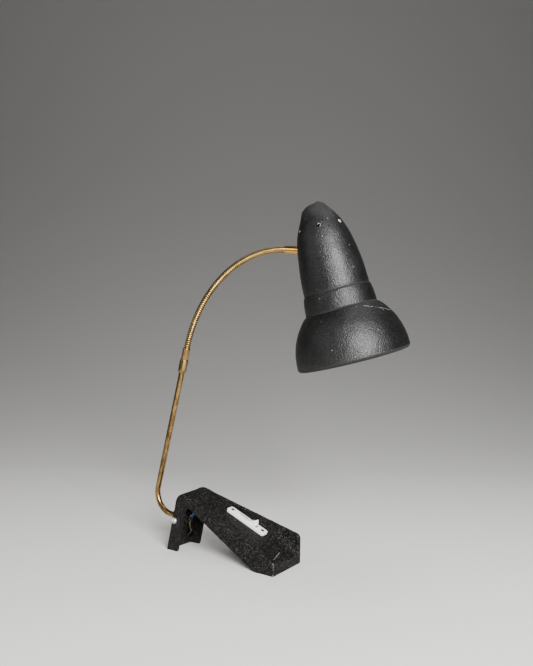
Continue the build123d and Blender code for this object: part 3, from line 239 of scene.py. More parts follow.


# %% [markdown]
# Crackle enamel is a baked black paint that wrinkles as it dries: a cell pattern makes the wrinkles,
# and a slow noise varies the gloss. The tops of the wrinkles are painted paler and their hollows darker,
# as painted light and shade with a little wear on the tops, and sparse pale specks are painted glints
# and dust. Where a piece carries a wear value on its points, the paint is rubbed through to grey metal,
# and where it carries a darkening value it is painted near black and duller: painted shade at seams
# and under the rim, and a darker nose.

# %% Crackle enamel
WRINKLES = 560.0
PAINT_GRAIN = 1.7 * WRINKLES
PAINT_DUST = 0.2
PAINT_DARK = (0.001, 0.001, 0.001)
SPECKS = 95.0
GLINT_AND_DUST_GREY = (0.17, 0.17, 0.16, 1)
CHIPS = 520.0
WORN_METAL = [(0.35, (0.065, 0.061, 0.055)), (0.7, (0.26, 0.25, 0.23))]
DARKENING_BLACK = (0.004, 0.0035, 0.003, 1)
SEAM_DULLNESS = 0.45
GLOSS_RANGE = 0.14
BASE_LIGHT = (0.050, 0.0465, 0.0405)
SHADE_LIGHT = (0.009, 0.009, 0.009)


def crackle_enamel(name, depth, dark, light, gloss, shine):
    """Black wrinkled enamel, worn by the piece's wear value and painted darker and duller by its darkening value.
    """
    material, tree, shader, add, place = start_material(name)
    cell_inputs = {"Vector": place, "Scale": WRINKLES, "Smoothness": 0.4}
    cells = add("ShaderNodeTexVoronoi", cell_inputs, feature="SMOOTH_F1").outputs["Distance"]
    grain = cloud(add, place, PAINT_GRAIN, 2.0)
    slow = cloud(add, place, 45.0)
    height = sum_of(add, grain, cells, "SUBTRACT")
    dust = uneven(add, cloud(add, place, 240.0, 3.0), -PAINT_DUST, PAINT_DUST)
    # Painted light and shade: the colour follows the wrinkles' height, paler on the tops and darker in the
    # hollows.
    paint = colour_ramp(add, sum_of(add, height, dust), [(0.04, dark), (0.43, light)])
    # Sparse pale specks, painted glints and dust.
    speck_inputs = {"Vector": place, "Scale": SPECKS}
    specks = add("ShaderNodeTexVoronoi", speck_inputs, feature="F1").outputs["Distance"]
    paint = two_colours(add, spread(add, specks, 0.045, 0.075, 0.8, 0.0), paint, GLINT_AND_DUST_GREY)
    chips = cloud(add, place, CHIPS, 5.0, 0.7)
    patchy = spread(add, cloud(add, place, 130.0), 0.35, 0.6, 0.7, 1.0)
    rubbed = sum_of(add, marked(add, "wear"), patchy, "MULTIPLY")
    bare = spread(add, sum_of(add, rubbed, chips, "MULTIPLY"), 0.29, 0.52)
    worn_paint = two_colours(add, bare, paint, colour_ramp(add, chips, WORN_METAL))
    darkening = marked(add, "darkening")
    dullness = spread(add, darkening, 0.0, 1.0, 0.0, SEAM_DULLNESS)
    # Painted shade: near black where the darkening value is set, at seams and under the rim, and on the nose.
    colour = two_colours(add, darkening, worn_paint, DARKENING_BLACK)
    roughness = sum_of(add, uneven(add, slow, gloss, gloss + GLOSS_RANGE), dullness)
    shader.inputs["Specular IOR Level"].default_value = shine
    wire(tree, shader, Base_Color=colour, Roughness=roughness, Normal=relief(add, height, 1.0, depth))
    return material


base_enamel = crackle_enamel("base_enamel", 1.0 * MM, PAINT_DARK, BASE_LIGHT, 0.54, 0.15)
shade_enamel = crackle_enamel("shade_enamel", 0.27 * MM, PAINT_DARK, SHADE_LIGHT, 0.37, 0.46)
print("enamels made")

# %% [markdown]
# Old brass is never one colour. A slow noise lays brown patina over the gold, a stretched noise gives
# the fine lines that polishing leaves, and the gloss follows the patina. The same tree with other
# colours makes steel. On the gooseneck a darkening value on the points darkens the hollows between
# the ribs, as dirt and as painted shade.

# %% Metals
PATINA_PATCHES = 70.0
METAL_SCRATCHES = 22.0
EVEN_GRAIN = (40.0, 40.0, 40.0)
STEM_GRAIN = (30.0, 30.0, 4.0)
RIB_SHADE_AND_DIRT = 0.15


def aged_metal(name, dark, light, smooth, rough, grain=EVEN_GRAIN, grooves=False):
    """Old metal with a patchy patina, fine scratches and uneven gloss."""
    material, tree, shader, add, place = start_material(name)
    patches = cloud(add, place, PATINA_PATCHES, 6.0, 0.65)
    stretched = add("ShaderNodeMapping", {"Vector": place, "Scale": grain}).outputs["Vector"]
    scratches = cloud(add, stretched, METAL_SCRATCHES)
    tone = sum_of(add, patches, scratches, "MULTIPLY")
    colour = colour_ramp(add, tone, [(0.13, dark), (0.34, light)])
    # On the gooseneck the colour between the ribs is darkened, as dirt and as painted shade.
    if grooves:
        darkened_colour = tuple(RIB_SHADE_AND_DIRT * value for value in dark) + (1,)
        colour = two_colours(add, marked(add, "darkening"), colour, darkened_colour)
    roughness = uneven(add, patches, rough, smooth)
    shader.inputs["Metallic"].default_value = 1.0
    wire(tree, shader, Base_Color=colour, Roughness=roughness, Normal=relief(add, scratches, 0.15, 0.1 * MM))
    return material


stem_brass = aged_metal("stem_brass", (0.07, 0.036, 0.013), (0.36, 0.23, 0.088), 0.20, 0.36, STEM_GRAIN)
neck_brass = aged_metal("neck_brass", (0.20, 0.115, 0.036), (0.56, 0.385, 0.15), 0.16, 0.30, grooves=True)
sleeve_brass = aged_metal("sleeve_brass", (0.12, 0.075, 0.026), (0.38, 0.265, 0.105), 0.22, 0.40)
collar_brass = aged_metal("collar_brass", (0.16, 0.085, 0.03), (0.47, 0.30, 0.125), 0.18, 0.32)
ferrule_brass = aged_metal("ferrule_brass", (0.50, 0.23, 0.042), (0.86, 0.52, 0.14), 0.12, 0.22)
holder_brass = aged_metal("holder_brass", (0.36, 0.22, 0.07), (0.74, 0.54, 0.22), 0.20, 0.34)
plated_steel = aged_metal("plated_steel", (0.40, 0.40, 0.40), (0.85, 0.85, 0.84), 0.14, 0.30)
bare_steel = aged_metal("bare_steel", (0.35, 0.34, 0.33), (0.80, 0.79, 0.77), 0.25, 0.45)
black_steel = aged_metal("black_steel", (0.006, 0.006, 0.006), (0.035, 0.032, 0.03), 0.32, 0.52)
print("metals made")

# %% [markdown]
# The switch is moulded in a white plastic that has yellowed a little, and its box and the terminal
# block are dark. The bell is pale inside, to throw the light down. These share one tree, a slow
# change of colour with a fine grain, and painted shade where a darkening value is on the points: round
# the rocker and at the bell's seams and rim. Glass and the two-coloured earth core have trees of their
# own.

# %% Plastics, lining, insulation and glass
SLOW_CHANGE = 90.0
MOULD_GRAIN = 1400.0
MOULD_SHADE = 0.3
GLASS_IOR = 1.48


def moulded(name, dark, light, smooth, rough, grain_depth):
    """Moulded plastic, rubber or enamel with a slow change of colour, a fine grain and painted shade."""
    material, tree, shader, add, place = start_material(name)
    slow = cloud(add, place, SLOW_CHANGE, 5.0)
    grain = cloud(add, place, MOULD_GRAIN, 2.0)
    clean = colour_ramp(add, slow, [(0.32, dark), (0.68, light)])
    # Painted shade: the darkened colour round the switch's rocker and at the bell's seams and rim inside.
    darkened_colour = tuple(MOULD_SHADE * value for value in dark) + (1,)
    colour = two_colours(add, marked(add, "darkening"), clean, darkened_colour)
    roughness = uneven(add, slow, smooth, rough)
    wire(tree, shader, Base_Color=colour, Roughness=roughness, Normal=relief(add, grain, 0.25, grain_depth))
    return material


def clear_glass(name):
    """Clear blown glass with faint waves."""
    material, tree, shader, add, place = start_material(name)
    shader.inputs["Roughness"].default_value = 0.02
    shader.inputs["IOR"].default_value = GLASS_IOR
    shader.inputs["Transmission Weight"].default_value = 1.0
    wire(tree, shader, Normal=relief(add, cloud(add, place, 60.0), 0.05, 0.2 * MM))
    return material


def striped_rubber(name, ground, stripe):
    """Two-coloured insulation of an earth core, in patches along the core."""
    material, tree, shader, add, place = start_material(name)
    bands = add("ShaderNodeTexWave", {"Vector": place, "Scale": 70.0, "Distortion": 1.5}).outputs["Fac"]
    colour = colour_ramp(add, bands, [(0.44, ground), (0.56, stripe)])
    wire(tree, shader, Base_Color=colour, Roughness=uneven(add, cloud(add, place, 400.0), 0.4, 0.6))
    return material


shade_lining = moulded("shade_lining", (0.60, 0.58, 0.52), (0.76, 0.74, 0.68), 0.28, 0.45, 0.05 * MM)
white_plastic = moulded("white_plastic", (0.90, 0.89, 0.86), (0.96, 0.955, 0.94), 0.22, 0.34, 0.03 * MM)
dark_plastic = moulded("dark_plastic", (0.010, 0.009, 0.008), (0.026, 0.023, 0.020), 0.35, 0.55, 0.05 * MM)
blue_rubber = moulded("blue_rubber", (0.012, 0.10, 0.42), (0.03, 0.20, 0.65), 0.36, 0.50, 0.04 * MM)
brown_rubber = moulded("brown_rubber", (0.022, 0.010, 0.005), (0.05, 0.022, 0.010), 0.38, 0.52, 0.04 * MM)
earth_rubber = striped_rubber("earth_rubber", (0.003, 0.011, 0.003), (0.036, 0.030, 0.005))
bulb_glass = clear_glass("bulb_glass")
print("finishes:", len(bpy.data.materials))

# %% [markdown]
# The shade is two spun steel shells. Its outline is a chain of arcs, each leaving in the direction in
# which the last one ended: the cap rises from a straight skirt to a blunt nose.

# %% Outline of the shade's cap
SHADE_WALL = 1.0 * MM
ARC_STEPS = 26


def millimetres(points):
    """(radius, height) points given in millimetres, in metres."""
    return [(radius * MM, height * MM) for radius, height in points]


def tangent_arcs(points, way, steps):
    """Points along arcs that join (radius, height) points, starting in a given direction."""
    line = [points[0]]
    for (r0, h0), (r1, h1) in zip(points, points[1:]):
        half_turn = math.remainder(math.atan2(h1 - h0, r1 - r0) - way, 2 * math.pi)
        span = math.hypot(r1 - r0, h1 - h0)
        for step in range(1, steps + 1):
            share = step / steps
            reach = span * math.sin(share * half_turn) / math.sin(half_turn)
            angle = way + share * half_turn
            line.append((r0 + reach * math.cos(angle), h0 + reach * math.sin(angle)))
        way = way + 2 * half_turn
    return line


def inner_line(line, wall):
    """The same line moved to its left by the wall."""
    moved = []
    for index, (radius, height) in enumerate(line):
        before = Vector(line[max(index - 1, 0)])
        after = Vector(line[min(index + 1, len(line) - 1)])
        way = (after - before).normalized()
        moved.append((radius - wall * way.y, height + wall * way.x))
    return moved


CAP_OUTLINE = millimetres([(40.9, -112.0), (33.7, -50.0), (14.0, -9.0)])
CAP_SKIRT = millimetres([(40.9, -116.0)])

cap_outer = tangent_arcs(CAP_OUTLINE, math.pi / 2, ARC_STEPS)
nose_radius, nose_height = CAP_OUTLINE[-1]
last_step = Vector(cap_outer[-1]) - Vector(cap_outer[-2])
nose_way = math.atan2(last_step.y, last_step.x)
nose_turn = math.pi - nose_way
tip_height = nose_height + nose_radius * math.tan(nose_turn / 2)
cap_outer += tangent_arcs([CAP_OUTLINE[-1], (0.0, tip_height)], nose_way, ARC_STEPS)[1:]
cap_outer = CAP_SKIRT + cap_outer
cap_inner = inner_line(cap_outer, SHADE_WALL)
cap_inner[-1] = (0.0, tip_height - SHADE_WALL)


def wall_at(line, height):
    """Radius and slope of an outline where it passes a height."""
    for (r0, h0), (r1, h1) in zip(line, line[1:]):
        if h0 <= height <= h1:
            share = (height - h0) / (h1 - h0)
            return r0 + (r1 - r0) * share, math.atan2(r0 - r1, h1 - h0)


print("nose at", round(tip_height / MM, 2), "mm")

# %% [markdown]
# The head frame says where the shade is. The last joint of the neck and the lean of the neck's end
# give the line of the upper ferrule. The shade hangs on that line, rolled about it and tilted down.

# %% Where the neck and the shade are
NECK_JOINTS = [
    f"{half}_{move}{follow}"
    for half in ("lower", "upper")
    for follow in ("", "_follow")
    for move in ("bend", "swing")
]
STEM_LEAN = math.radians(13.9)
NECK_END_LEAN = math.radians(98.5)
NECK_LINK_LENGTH = 28.4 * MM
FERRULE_LENGTH = 24.5 * MM
HEAD_TILT = math.radians(19.5)
HEAD_ROLL = math.radians(11.6)
ENTRY_DROP = 51.0 * MM


def leaning(angle):
    """Unit vector in the XZ plane that leans forward from vertical."""
    return Vector((math.sin(angle), 0, math.cos(angle)))


bends = [Vector(joints[name]["pos_m"]) for name in NECK_JOINTS]
neck_start = bends[0] - leaning(STEM_LEAN) * NECK_LINK_LENGTH / 2
ferrule_way = leaning(NECK_END_LEAN)
neck_end = bends[-1] + ferrule_way * NECK_LINK_LENGTH / 2
level_up = leaning(NECK_END_LEAN - math.pi / 2)
head_up = level_up * math.cos(HEAD_ROLL) - Vector((0, 1, 0)) * math.sin(HEAD_ROLL)
head_frame = Matrix((ferrule_way, head_up.cross(ferrule_way), head_up)).transposed().to_4x4()
head_frame.translation = neck_end + ferrule_way * FERRULE_LENGTH
entry_radius = wall_at(cap_outer, -ENTRY_DROP)[0]
hang = Matrix.Rotation(-HEAD_TILT, 4, "Y") @ Matrix.Translation((entry_radius, 0, ENTRY_DROP))
shade_frame = head_frame @ hang
print("shade's top at", [round(value / MM, 1) for value in shade_frame.translation])

# %% [markdown]
# Thick enamel and old knocks leave the steel a little lumpy, so each point of a shell is moved out or
# in by a slow noise, more at the nose. The seams and the underside of the rim get painted shade, the
# nose is painted darker towards its tip, and those points get a darkening value for the enamel to
# read. The inside of a shell takes a second finish.

# %% Lumps, dirt and lining of the shade
LUMP_DEPTH = 0.28 * MM
LUMP_SIZE = 11.0 * MM
LUMP_CENTRE_DROP = 25.0 * MM
NOSE_LUMP_DEPTH = 1.1 * MM
NOSE_LUMP_SIZE = 10.0 * MM
NOSE_REACH = 26.0 * MM
SEAM_REACH = 0.3 * MM
NOSE_DARKENING = 0.6
NOSE_DARKENING_HEIGHTS = (-30.0 * MM, -6.0 * MM)
RIM_SHADE = 0.9
RIM_SHADE_DEPTHS = (194.5 * MM, 197.0 * MM)


def ease(value, start, end):
    """Soft step from 0 at the start to 1 at the end."""
    share = min(max((value - start) / (end - start), 0.0), 1.0)
    return share * share * (3 - 2 * share)


def nearness(value, middle, reach):
    """1 at the middle, falling evenly to 0 at the reach on either side."""
    return max(0.0, 1 - abs(value - middle) / reach)


def on_plan(point):
    """A point without its height."""
    return Vector((point.x, point.y, 0))


def make_lumpy(shape):
    """Move a spun shell's points out or in by slow noise, the same on both sides of its wall."""
    for vert in shape.verts:
        outward = (vert.co - Vector((0, 0, vert.co.z - LUMP_CENTRE_DROP))).normalized()
        near_nose = max(0.0, 1 + vert.co.z / NOSE_REACH)
        depth = LUMP_DEPTH * noise.noise(vert.co / LUMP_SIZE)
        depth += near_nose * NOSE_LUMP_DEPTH * noise.noise(vert.co / NOSE_LUMP_SIZE)
        vert.co += outward * depth


def mark_darkening(shape, heights):
    """Mark a shell's points for painted shade at seams of the given heights and under the rim, and darker at the
    nose.
    """
    darkening = shape.verts.layers.float.new("darkening")
    for vert in shape.verts:
        seam = any(abs(vert.co.z - height) < SEAM_REACH for height in heights)
        nose = NOSE_DARKENING * ease(vert.co.z, *NOSE_DARKENING_HEIGHTS)
        rim = RIM_SHADE * ease(-vert.co.z, *RIM_SHADE_DEPTHS)
        vert[darkening] = max(float(seam), nose, rim)


def line_inside(shape):
    """Give the second material to the faces that look towards the axis, the inside of a shell."""
    for face in shape.faces:
        middle = face.calc_center_median()
        if face.normal.xy.dot(middle.xy) < 0 and middle.xy.length > 2 * SHADE_WALL:
            face.material_index = 1


# %% [markdown]
# The cap is spun from its outline with the wall closed at the skirt. Its nose is blunt: it swells to
# one side, and the tip stands up on the other. A shallow groove runs round it just above the bell's
# band, and its inside is dark bare steel, which is also painted shade for the inside of the cap where
# it shows through the vents.

# %% Shade cap
SPIN_STEPS = 200
SEAM_GROOVE_REACH = 2.6 * MM
SEAM_GROOVE_DEPTH = 0.7 * MM
SWELL_TURN = math.radians(-145.0)
SWELL_WAY = Vector((math.cos(SWELL_TURN), math.sin(SWELL_TURN)))
SWELL_SPAN = 9.0 * MM
SWELL_HEIGHTS = (-80.0 * MM, -35.0 * MM)
SWELL_MIDDLE = 1.5 * MM
SWELL_NOSE = 2.4 * MM
SWELL_NOSE_HEIGHTS = (-22.0 * MM, -7.0 * MM)
TIP_SHIFT = 3.0 * MM
TIP_REACH = 5.0 * MM
TIP_RISE = 1.2 * MM


def swell(shape):
    """Press the blunt nose of the cap out to one side and raise its tip on the other side."""
    for vert in shape.verts:
        side = ease(vert.co.xy.dot(SWELL_WAY), 0.0, SWELL_SPAN)
        at_nose = ease(vert.co.z, *SWELL_NOSE_HEIGHTS)
        reach = ease(vert.co.z, *SWELL_HEIGHTS) * (SWELL_MIDDLE + SWELL_NOSE * at_nose)
        from_tip = (vert.co.xy + SWELL_WAY * TIP_SHIFT).length / TIP_REACH
        tip = TIP_RISE * math.exp(-from_tip * from_tip) * at_nose
        vert.co += Vector((*(SWELL_WAY * side * reach), tip))


seam_height = CAP_OUTLINE[0][1]
cap_shape = spun(cap_outer + cap_inner[::-1], SPIN_STEPS)
# Painted shade at the seam above the band, and a darker nose.
mark_darkening(cap_shape, [seam_height])
line_inside(cap_shape)
make_lumpy(cap_shape)
for vert in cap_shape.verts:
    groove_depth = on_plan(vert.co).normalized() * SEAM_GROOVE_DEPTH
    vert.co -= groove_depth * nearness(vert.co.z, seam_height, SEAM_GROOVE_REACH)
swell(cap_shape)
put(cap_shape, shade_frame)
# The dark inside finish is bare steel and also painted shade for the cap's inside seen through the vents.
cap_shell = make_piece("cap_shell", cap_shape, [shade_enamel, black_steel], "head")

# %% [markdown]
# The vents and the entry for the ferrule are cut with cylinders, because holes across a round wall are
# what a Boolean does well.

# %% Vents and entry
VENT_COUNT = 6
VENT_RADIUS = 2.5 * MM
VENT_DROP = 33.0 * MM
VENT_TURN = math.radians(54.0)
ENTRY_HOLE_RADIUS = 4.3 * MM
CUT_DEPTH = 10.0 * MM
CUT_SEGMENTS = 32


def finished(piece):
    """The mesh of an object with its modifiers applied."""
    bpy.context.view_layer.update()
    return bpy.data.meshes.new_from_object(piece.evaluated_get(bpy.context.evaluated_depsgraph_get()))


def cut(piece, cutter):
    """Cut a piece with another shape and keep the finished mesh."""
    tool = as_object("cutter", cutter)
    modifier = piece.modifiers.new("cut", "BOOLEAN")
    modifier.object = tool
    modifier.solver = "EXACT"
    mesh = finished(piece)
    mesh.set_sharp_from_angle(angle=CORNER_ANGLE)
    piece.modifiers.clear()
    piece.data = mesh
    bpy.data.objects.remove(tool)
    print(piece.name, "after the cut", len(mesh.polygons), "faces")


vent_radius, vent_slope = wall_at(cap_outer, -VENT_DROP)
square_to_wall = Matrix.Rotation(math.pi / 2 - vent_slope, 4, "Y")
out_of_wall = Matrix.Translation((vent_radius, 0, -VENT_DROP)) @ square_to_wall
vent_turns = [VENT_TURN + index * 2 * math.pi / VENT_COUNT for index in range(VENT_COUNT)]
vent_places = [Matrix.Rotation(turn, 4, "Z") @ out_of_wall for turn in vent_turns]
entry_place = head_frame @ Matrix.Rotation(math.pi / 2, 4, "Y")
hole_places = [(shade_frame @ place, VENT_RADIUS) for place in vent_places]
hole_places.append((entry_place, ENTRY_HOLE_RADIUS))
holes = bmesh.new()
for place, radius in hole_places:
    bmesh.ops.create_cone(
        holes,
        cap_ends=True,
        segments=CUT_SEGMENTS,
        radius1=radius,
        radius2=radius,
        depth=CUT_DEPTH,
        matrix=place,
    )
cut(cap_shell, holes)
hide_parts("shade_cap")

# %% [markdown]
# The bell has a band that grips the cap's skirt, a rounded shoulder, a flared side and a rolled rim.
# It is spun in the same way. On the real lamp the line under the band wavers, so the points near it
# also move a little along the axis. An old knock left a slanting crease on the shoulder, which is a
# raised line of points, painted paler along its ridge: partly rubbed to metal, partly a painted
# highlight on the fold.

# %% Shade bell
BELL_OUTLINE = millimetres([(66.4, -199.5), (70.9, -195.0), (63.0, -159.0), (47.4, -136.5), (45.4, -135.5)])
BAND_OUTLINE = millimetres([(44.7, -134.5), (41.95, -112.3)])
BAND_INSIDE = millimetres(
    [(41.75, -112.0), (41.45, -112.1), (40.95, -113.6), (40.95, -116.0), (43.7, -134.5)]
)
WAVER = 0.5 * MM
WAVER_HEIGHT = -135.0 * MM
WAVER_REACH = 12.0 * MM
WAVER_SIZE = 30.0 * MM
CREASE_TURNS = (math.radians(-40.0), math.radians(18.0))
CREASE_HEIGHTS = (-135.6 * MM, -154.6 * MM)
CREASE_RISE = 0.8 * MM
CREASE_WIDTH = 1.7 * MM
CREASE_WEAR_AND_HIGHLIGHT = 1.2
CREASE_FADE = 6

bell_outer = tangent_arcs(BELL_OUTLINE, 0.0, ARC_STEPS)
band_outer = tangent_arcs(BAND_OUTLINE, math.pi / 2, ARC_STEPS // 2)
bell_inner = inner_line(bell_outer, SHADE_WALL)
bell_shape = spun(bell_outer + band_outer + BAND_INSIDE + bell_inner[::-1], SPIN_STEPS)
# Painted shade at the band's two seams and under the rolled rim.
mark_darkening(bell_shape, [BAND_OUTLINE[0][1], BELL_OUTLINE[-1][1]])
line_inside(bell_shape)
make_lumpy(bell_shape)
# The crease's paler line is partly rubbed metal and partly a painted highlight on the fold.
wear = bell_shape.verts.layers.float.new("wear")
for vert in bell_shape.verts:
    along = (math.atan2(vert.co.y, vert.co.x) - CREASE_TURNS[0]) / (CREASE_TURNS[1] - CREASE_TURNS[0])
    if 0 < along < 1:
        crease_height = CREASE_HEIGHTS[0] + (CREASE_HEIGHTS[1] - CREASE_HEIGHTS[0]) * along
        fade = min(1.0, CREASE_FADE * along, CREASE_FADE - CREASE_FADE * along)
        crease = nearness(vert.co.z, crease_height, CREASE_WIDTH) * fade
        vert.co += on_plan(vert.co).normalized() * CREASE_RISE * crease
        vert[wear] = min(1.0, CREASE_WEAR_AND_HIGHLIGHT * crease)
for vert in bell_shape.verts:
    share = nearness(vert.co.z, WAVER_HEIGHT, WAVER_REACH)
    vert.co.z += WAVER * share * noise.noise(on_plan(vert.co) / WAVER_SIZE)
put(bell_shape, shade_frame)
bell_shell = make_piece("bell_shell", bell_shape, [shade_enamel, shade_lining], "head")
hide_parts("shade_bell")

# %% [markdown]
# In the photograph a bright crescent shows on the wall of the vents, as if pale enamel had run into
# them. A short turned ring, kept below the black paint, gives the thick edge that the eye sees.

# %% Pale edges of the vents
EDGE_OUTLINE = millimetres([(2.62, -2.2), (2.62, -0.6), (2.52, -0.42), (2.43, -0.46), (2.43, -2.2)])
EDGE_STEPS = 36
edge_shape = bmesh.new()
for place in vent_places:
    ring = spun(EDGE_OUTLINE, EDGE_STEPS)
    put(ring, place)
    ring_copy = as_object("ring", ring)
    edge_shape.from_mesh(ring_copy.data)
    bpy.data.objects.remove(ring_copy)
swell(edge_shape)
put(edge_shape, shade_frame)
make_piece("vent_edges", edge_shape, [shade_lining], "head")

# %% [markdown]
# The gooseneck is a close-wound strip of brass. A spin with a lift per step draws exactly that: one
# rib's outline goes round and climbs by one pitch each turn. Each stretch between the middles of two
# links is bent along a soft curve.

# %% Gooseneck
RIBS_PER_STRETCH = 9
STEPS_PER_TURN = 32
NECK_CREST = 4.55 * MM
NECK_GROOVE = 3.7 * MM
RIB_SHADE_AND_DIRT_FALL = 1.4
RIB_OUTLINE = [(0.0, 0.0), (0.3, 0.11), (0.82, 0.27), (1.0, 0.5), (0.82, 0.73), (0.3, 0.89), (0.0, 1.0)]
rib_pitch = NECK_LINK_LENGTH / RIBS_PER_STRETCH
neck_depth = NECK_CREST - NECK_GROOVE


def wound_tube(turns):
    """Straight wound tube about Z, one rib per turn, its grooves marked for dirt and painted shade."""
    shape = bmesh.new()
    rib = [(NECK_GROOVE + rise * neck_depth, 0, share * rib_pitch) for rise, share in RIB_OUTLINE]
    line = [shape.verts.new(point) for point in rib]
    for start, end in zip(line, line[1:]):
        shape.edges.new((start, end))
    bmesh.ops.spin(
        shape,
        geom=shape.verts[:] + shape.edges[:],
        cent=(0, 0, 0),
        axis=(0, 0, 1),
        dvec=(0, 0, rib_pitch / STEPS_PER_TURN),
        angle=2 * math.pi * turns,
        steps=STEPS_PER_TURN * turns,
    )
    weld(shape)
    bmesh.ops.holes_fill(shape, edges=[edge for edge in shape.edges if edge.is_boundary])
    face_outwards(shape)
    # Darkening value between the ribs, for dirt and painted shade.
    darkening = shape.verts.layers.float.new("darkening")
    for vert in shape.verts:
        vert[darkening] = max(0.0, 1 - RIB_SHADE_AND_DIRT_FALL * (vert.co.xy.length - NECK_GROOVE) / neck_depth)
    return shape


def bend_tube(shape, start, corner, end):
    """Lay a straight tube along the soft curve from start to end that leaves towards the corner."""
    across = Vector((0, 1, 0))
    for vert in shape.verts:
        share = vert.co.z / NECK_LINK_LENGTH
        inside = min(max(share, 0.0), 1.0)
        place = start * (1 - inside) ** 2 + corner * 2 * inside * (1 - inside) + end * inside**2
        way = ((corner - start) * (1 - inside) + (end - corner) * inside).normalized()
        beyond = way * (share - inside) * NECK_LINK_LENGTH
        vert.co = place + beyond + across.cross(way) * vert.co.x + across * vert.co.y


middles = [(before + after) / 2 for before, after in zip(bends, bends[1:])]
stretch_ends = [neck_start] + middles + [neck_end]
link_names = ["neck_root"] + [f"neck_link_{index}" for index in range(1, len(bends))] + ["neck_tip"]
for index, corner in enumerate(bends):
    start = stretch_ends[index]
    end = stretch_ends[index + 1]
    first = index == 0
    last = index == len(bends) - 1
    tube = wound_tube(RIBS_PER_STRETCH + first + last)
    bmesh.ops.translate(tube, verts=tube.verts, vec=(0, 0, -rib_pitch * first))
    bend_tube(tube, start, corner, end)
    winding = make_piece(f"neck_winding_{index + 1}", tube, [neck_brass])
    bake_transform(winding)
    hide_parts(*(link_names[index:] if last else link_names[index : index + 1]))

# %% [markdown]
# The ferrules are turned brass. The lower one is a sleeve with a tapered foot on the stem, and a collar
# with a bright rolled rim that takes the neck. The upper one is a plain tube, cut to the round of the
# shade. All are spun from outlines with rounded edges, because a turned edge catches a line of light.

# %% Ferrules
SLEEVE_OUTLINE = [
    (4.04, -36.5), (4.90, -36.45), (5.20, -36.1), (5.98, -32.8), (6.07, -32.3), (6.10, -31.6),
    (6.10, -17.3), (6.02, -16.9), (5.75, -16.6), (4.56, -16.6), (4.56, -22.5), (4.04, -22.5),
]
COLLAR_OUTLINE = [
    (2.7, -22.4), (4.5, -22.4), (4.5, -16.55), (5.20, -16.5), (5.32, -16.2), (5.32, -2.0),
    (5.42, -1.7), (5.66, -1.45), (5.74, -0.95), (5.68, -0.4), (5.50, -0.1), (5.20, 0.0),
    (4.58, 0.0), (4.58, -8.95), (2.7, -8.95),
]
FERRULE_OUTLINE = [
    (4.58, -24.5), (4.78, -24.5), (4.95, -24.38), (5.0, -24.1),
    (5.0, 5.0), (2.7, 5.0), (2.7, -15.5), (4.58, -15.5),
]
TURN_STEPS = 72
TURNED_CORNER = math.radians(50)
LOWER_FERRULE = (
    ("lower_sleeve", SLEEVE_OUTLINE, sleeve_brass),
    ("lower_collar", COLLAR_OUTLINE, collar_brass),
)
stem_frame = Matrix.Translation(neck_start) @ Matrix.Rotation(STEM_LEAN, 4, "Y")
for name, outline, finish in LOWER_FERRULE:
    turned = spun(millimetres(outline), TURN_STEPS)
    put(turned, stem_frame)
    piece = make_piece(f"turned_{name}", turned, [finish], "base", TURNED_CORNER)
    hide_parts(name)
turned = spun(millimetres(FERRULE_OUTLINE), TURN_STEPS)
put(turned, entry_place)
upper_ferrule = make_piece("turned_upper_ferrule", turned, [ferrule_brass], "head", TURNED_CORNER)
shade_blank = spun(cap_outer + [(0.0, cap_outer[0][1])], SPIN_STEPS)
put(shade_blank, shade_frame)
cut(upper_ferrule, shade_blank)
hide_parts("upper_ferrule")

# %% [markdown]
# The base is a sand casting under thick enamel, so none of its edges is sharp. A copy of the solid is
# rebuilt from small even faces and smoothed a few times, which rounds every edge alike.

# %% Base casting
CAST_GRID = 0.95 * MM
EDGE_SMOOTHING = 4


def copied(node_name):
    """Closed bmesh copy of a CAD node."""
    shape = bmesh.new()
    shape.from_mesh(nodes[node_name].data)
    weld(shape)
    return shape


def rebuilt(node_name, grid):
    """Closed copy of a CAD node, rebuilt from small even faces."""
    copy = as_object("copy", copied(node_name))
    remesh = copy.modifiers.new("remesh", "REMESH")
    remesh.mode = "VOXEL"
    remesh.voxel_size = grid
    even = bmesh.new()
    even.from_mesh(finished(copy))
    bpy.data.objects.remove(copy)
    return even


def smooth(shape, verts, times):
    """Smooth points a number of times."""
    for _ in range(times):
        bmesh.ops.smooth_vert(
            shape, verts=verts, factor=0.5, use_axis_x=True, use_axis_y=True, use_axis_z=True
        )


casting = rebuilt("base_casting", CAST_GRID)
smooth(casting, casting.verts, EDGE_SMOOTHING)
casting.normal_update()
print("casting:", len(casting.faces), "faces")

# %% [markdown]
# At the crown the real casting flows from the deck up into the fence, and at the front the deck flows
# into the tray. The crown's corner is pushed out and its far side lifted, and then the points in both
# places are smoothed for longer.

# %% Crown and tray
CROWN_SMOOTHING = 40
CROWN_FRONT = -96.0 * MM
CROWN_FOOT = 56.0 * MM
CROWN_LIFT = 3.0 * MM
CROWN_RUN = 24.0 * MM
CROWN_PUSH = 2.6 * MM
CROWN_PUSH_LEAN = math.radians(-38.0)
CROWN_PUSH_REACH = 16.0 * MM
REAR_HALF_WIDTH = 25.0 * MM
FENCE_THICKNESS = 5.0 * MM
TRAY_SMOOTHING = 70
TRAY_BACK = -28.0 * MM
TRAY_EDGE = 4.0 * MM
TRAY_FOOT = 6.0 * MM
TRAY_LEVEL = 0.7
base_low, base_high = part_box("base_casting")


def fence_side(x):
    """Where the inner side of the fence is, which follows the taper of the base."""
    share = (x - base_low.x) / (base_high.x - base_low.x)
    return REAR_HALF_WIDTH + (base_high.y - REAR_HALF_WIDTH) * share - FENCE_THICKNESS


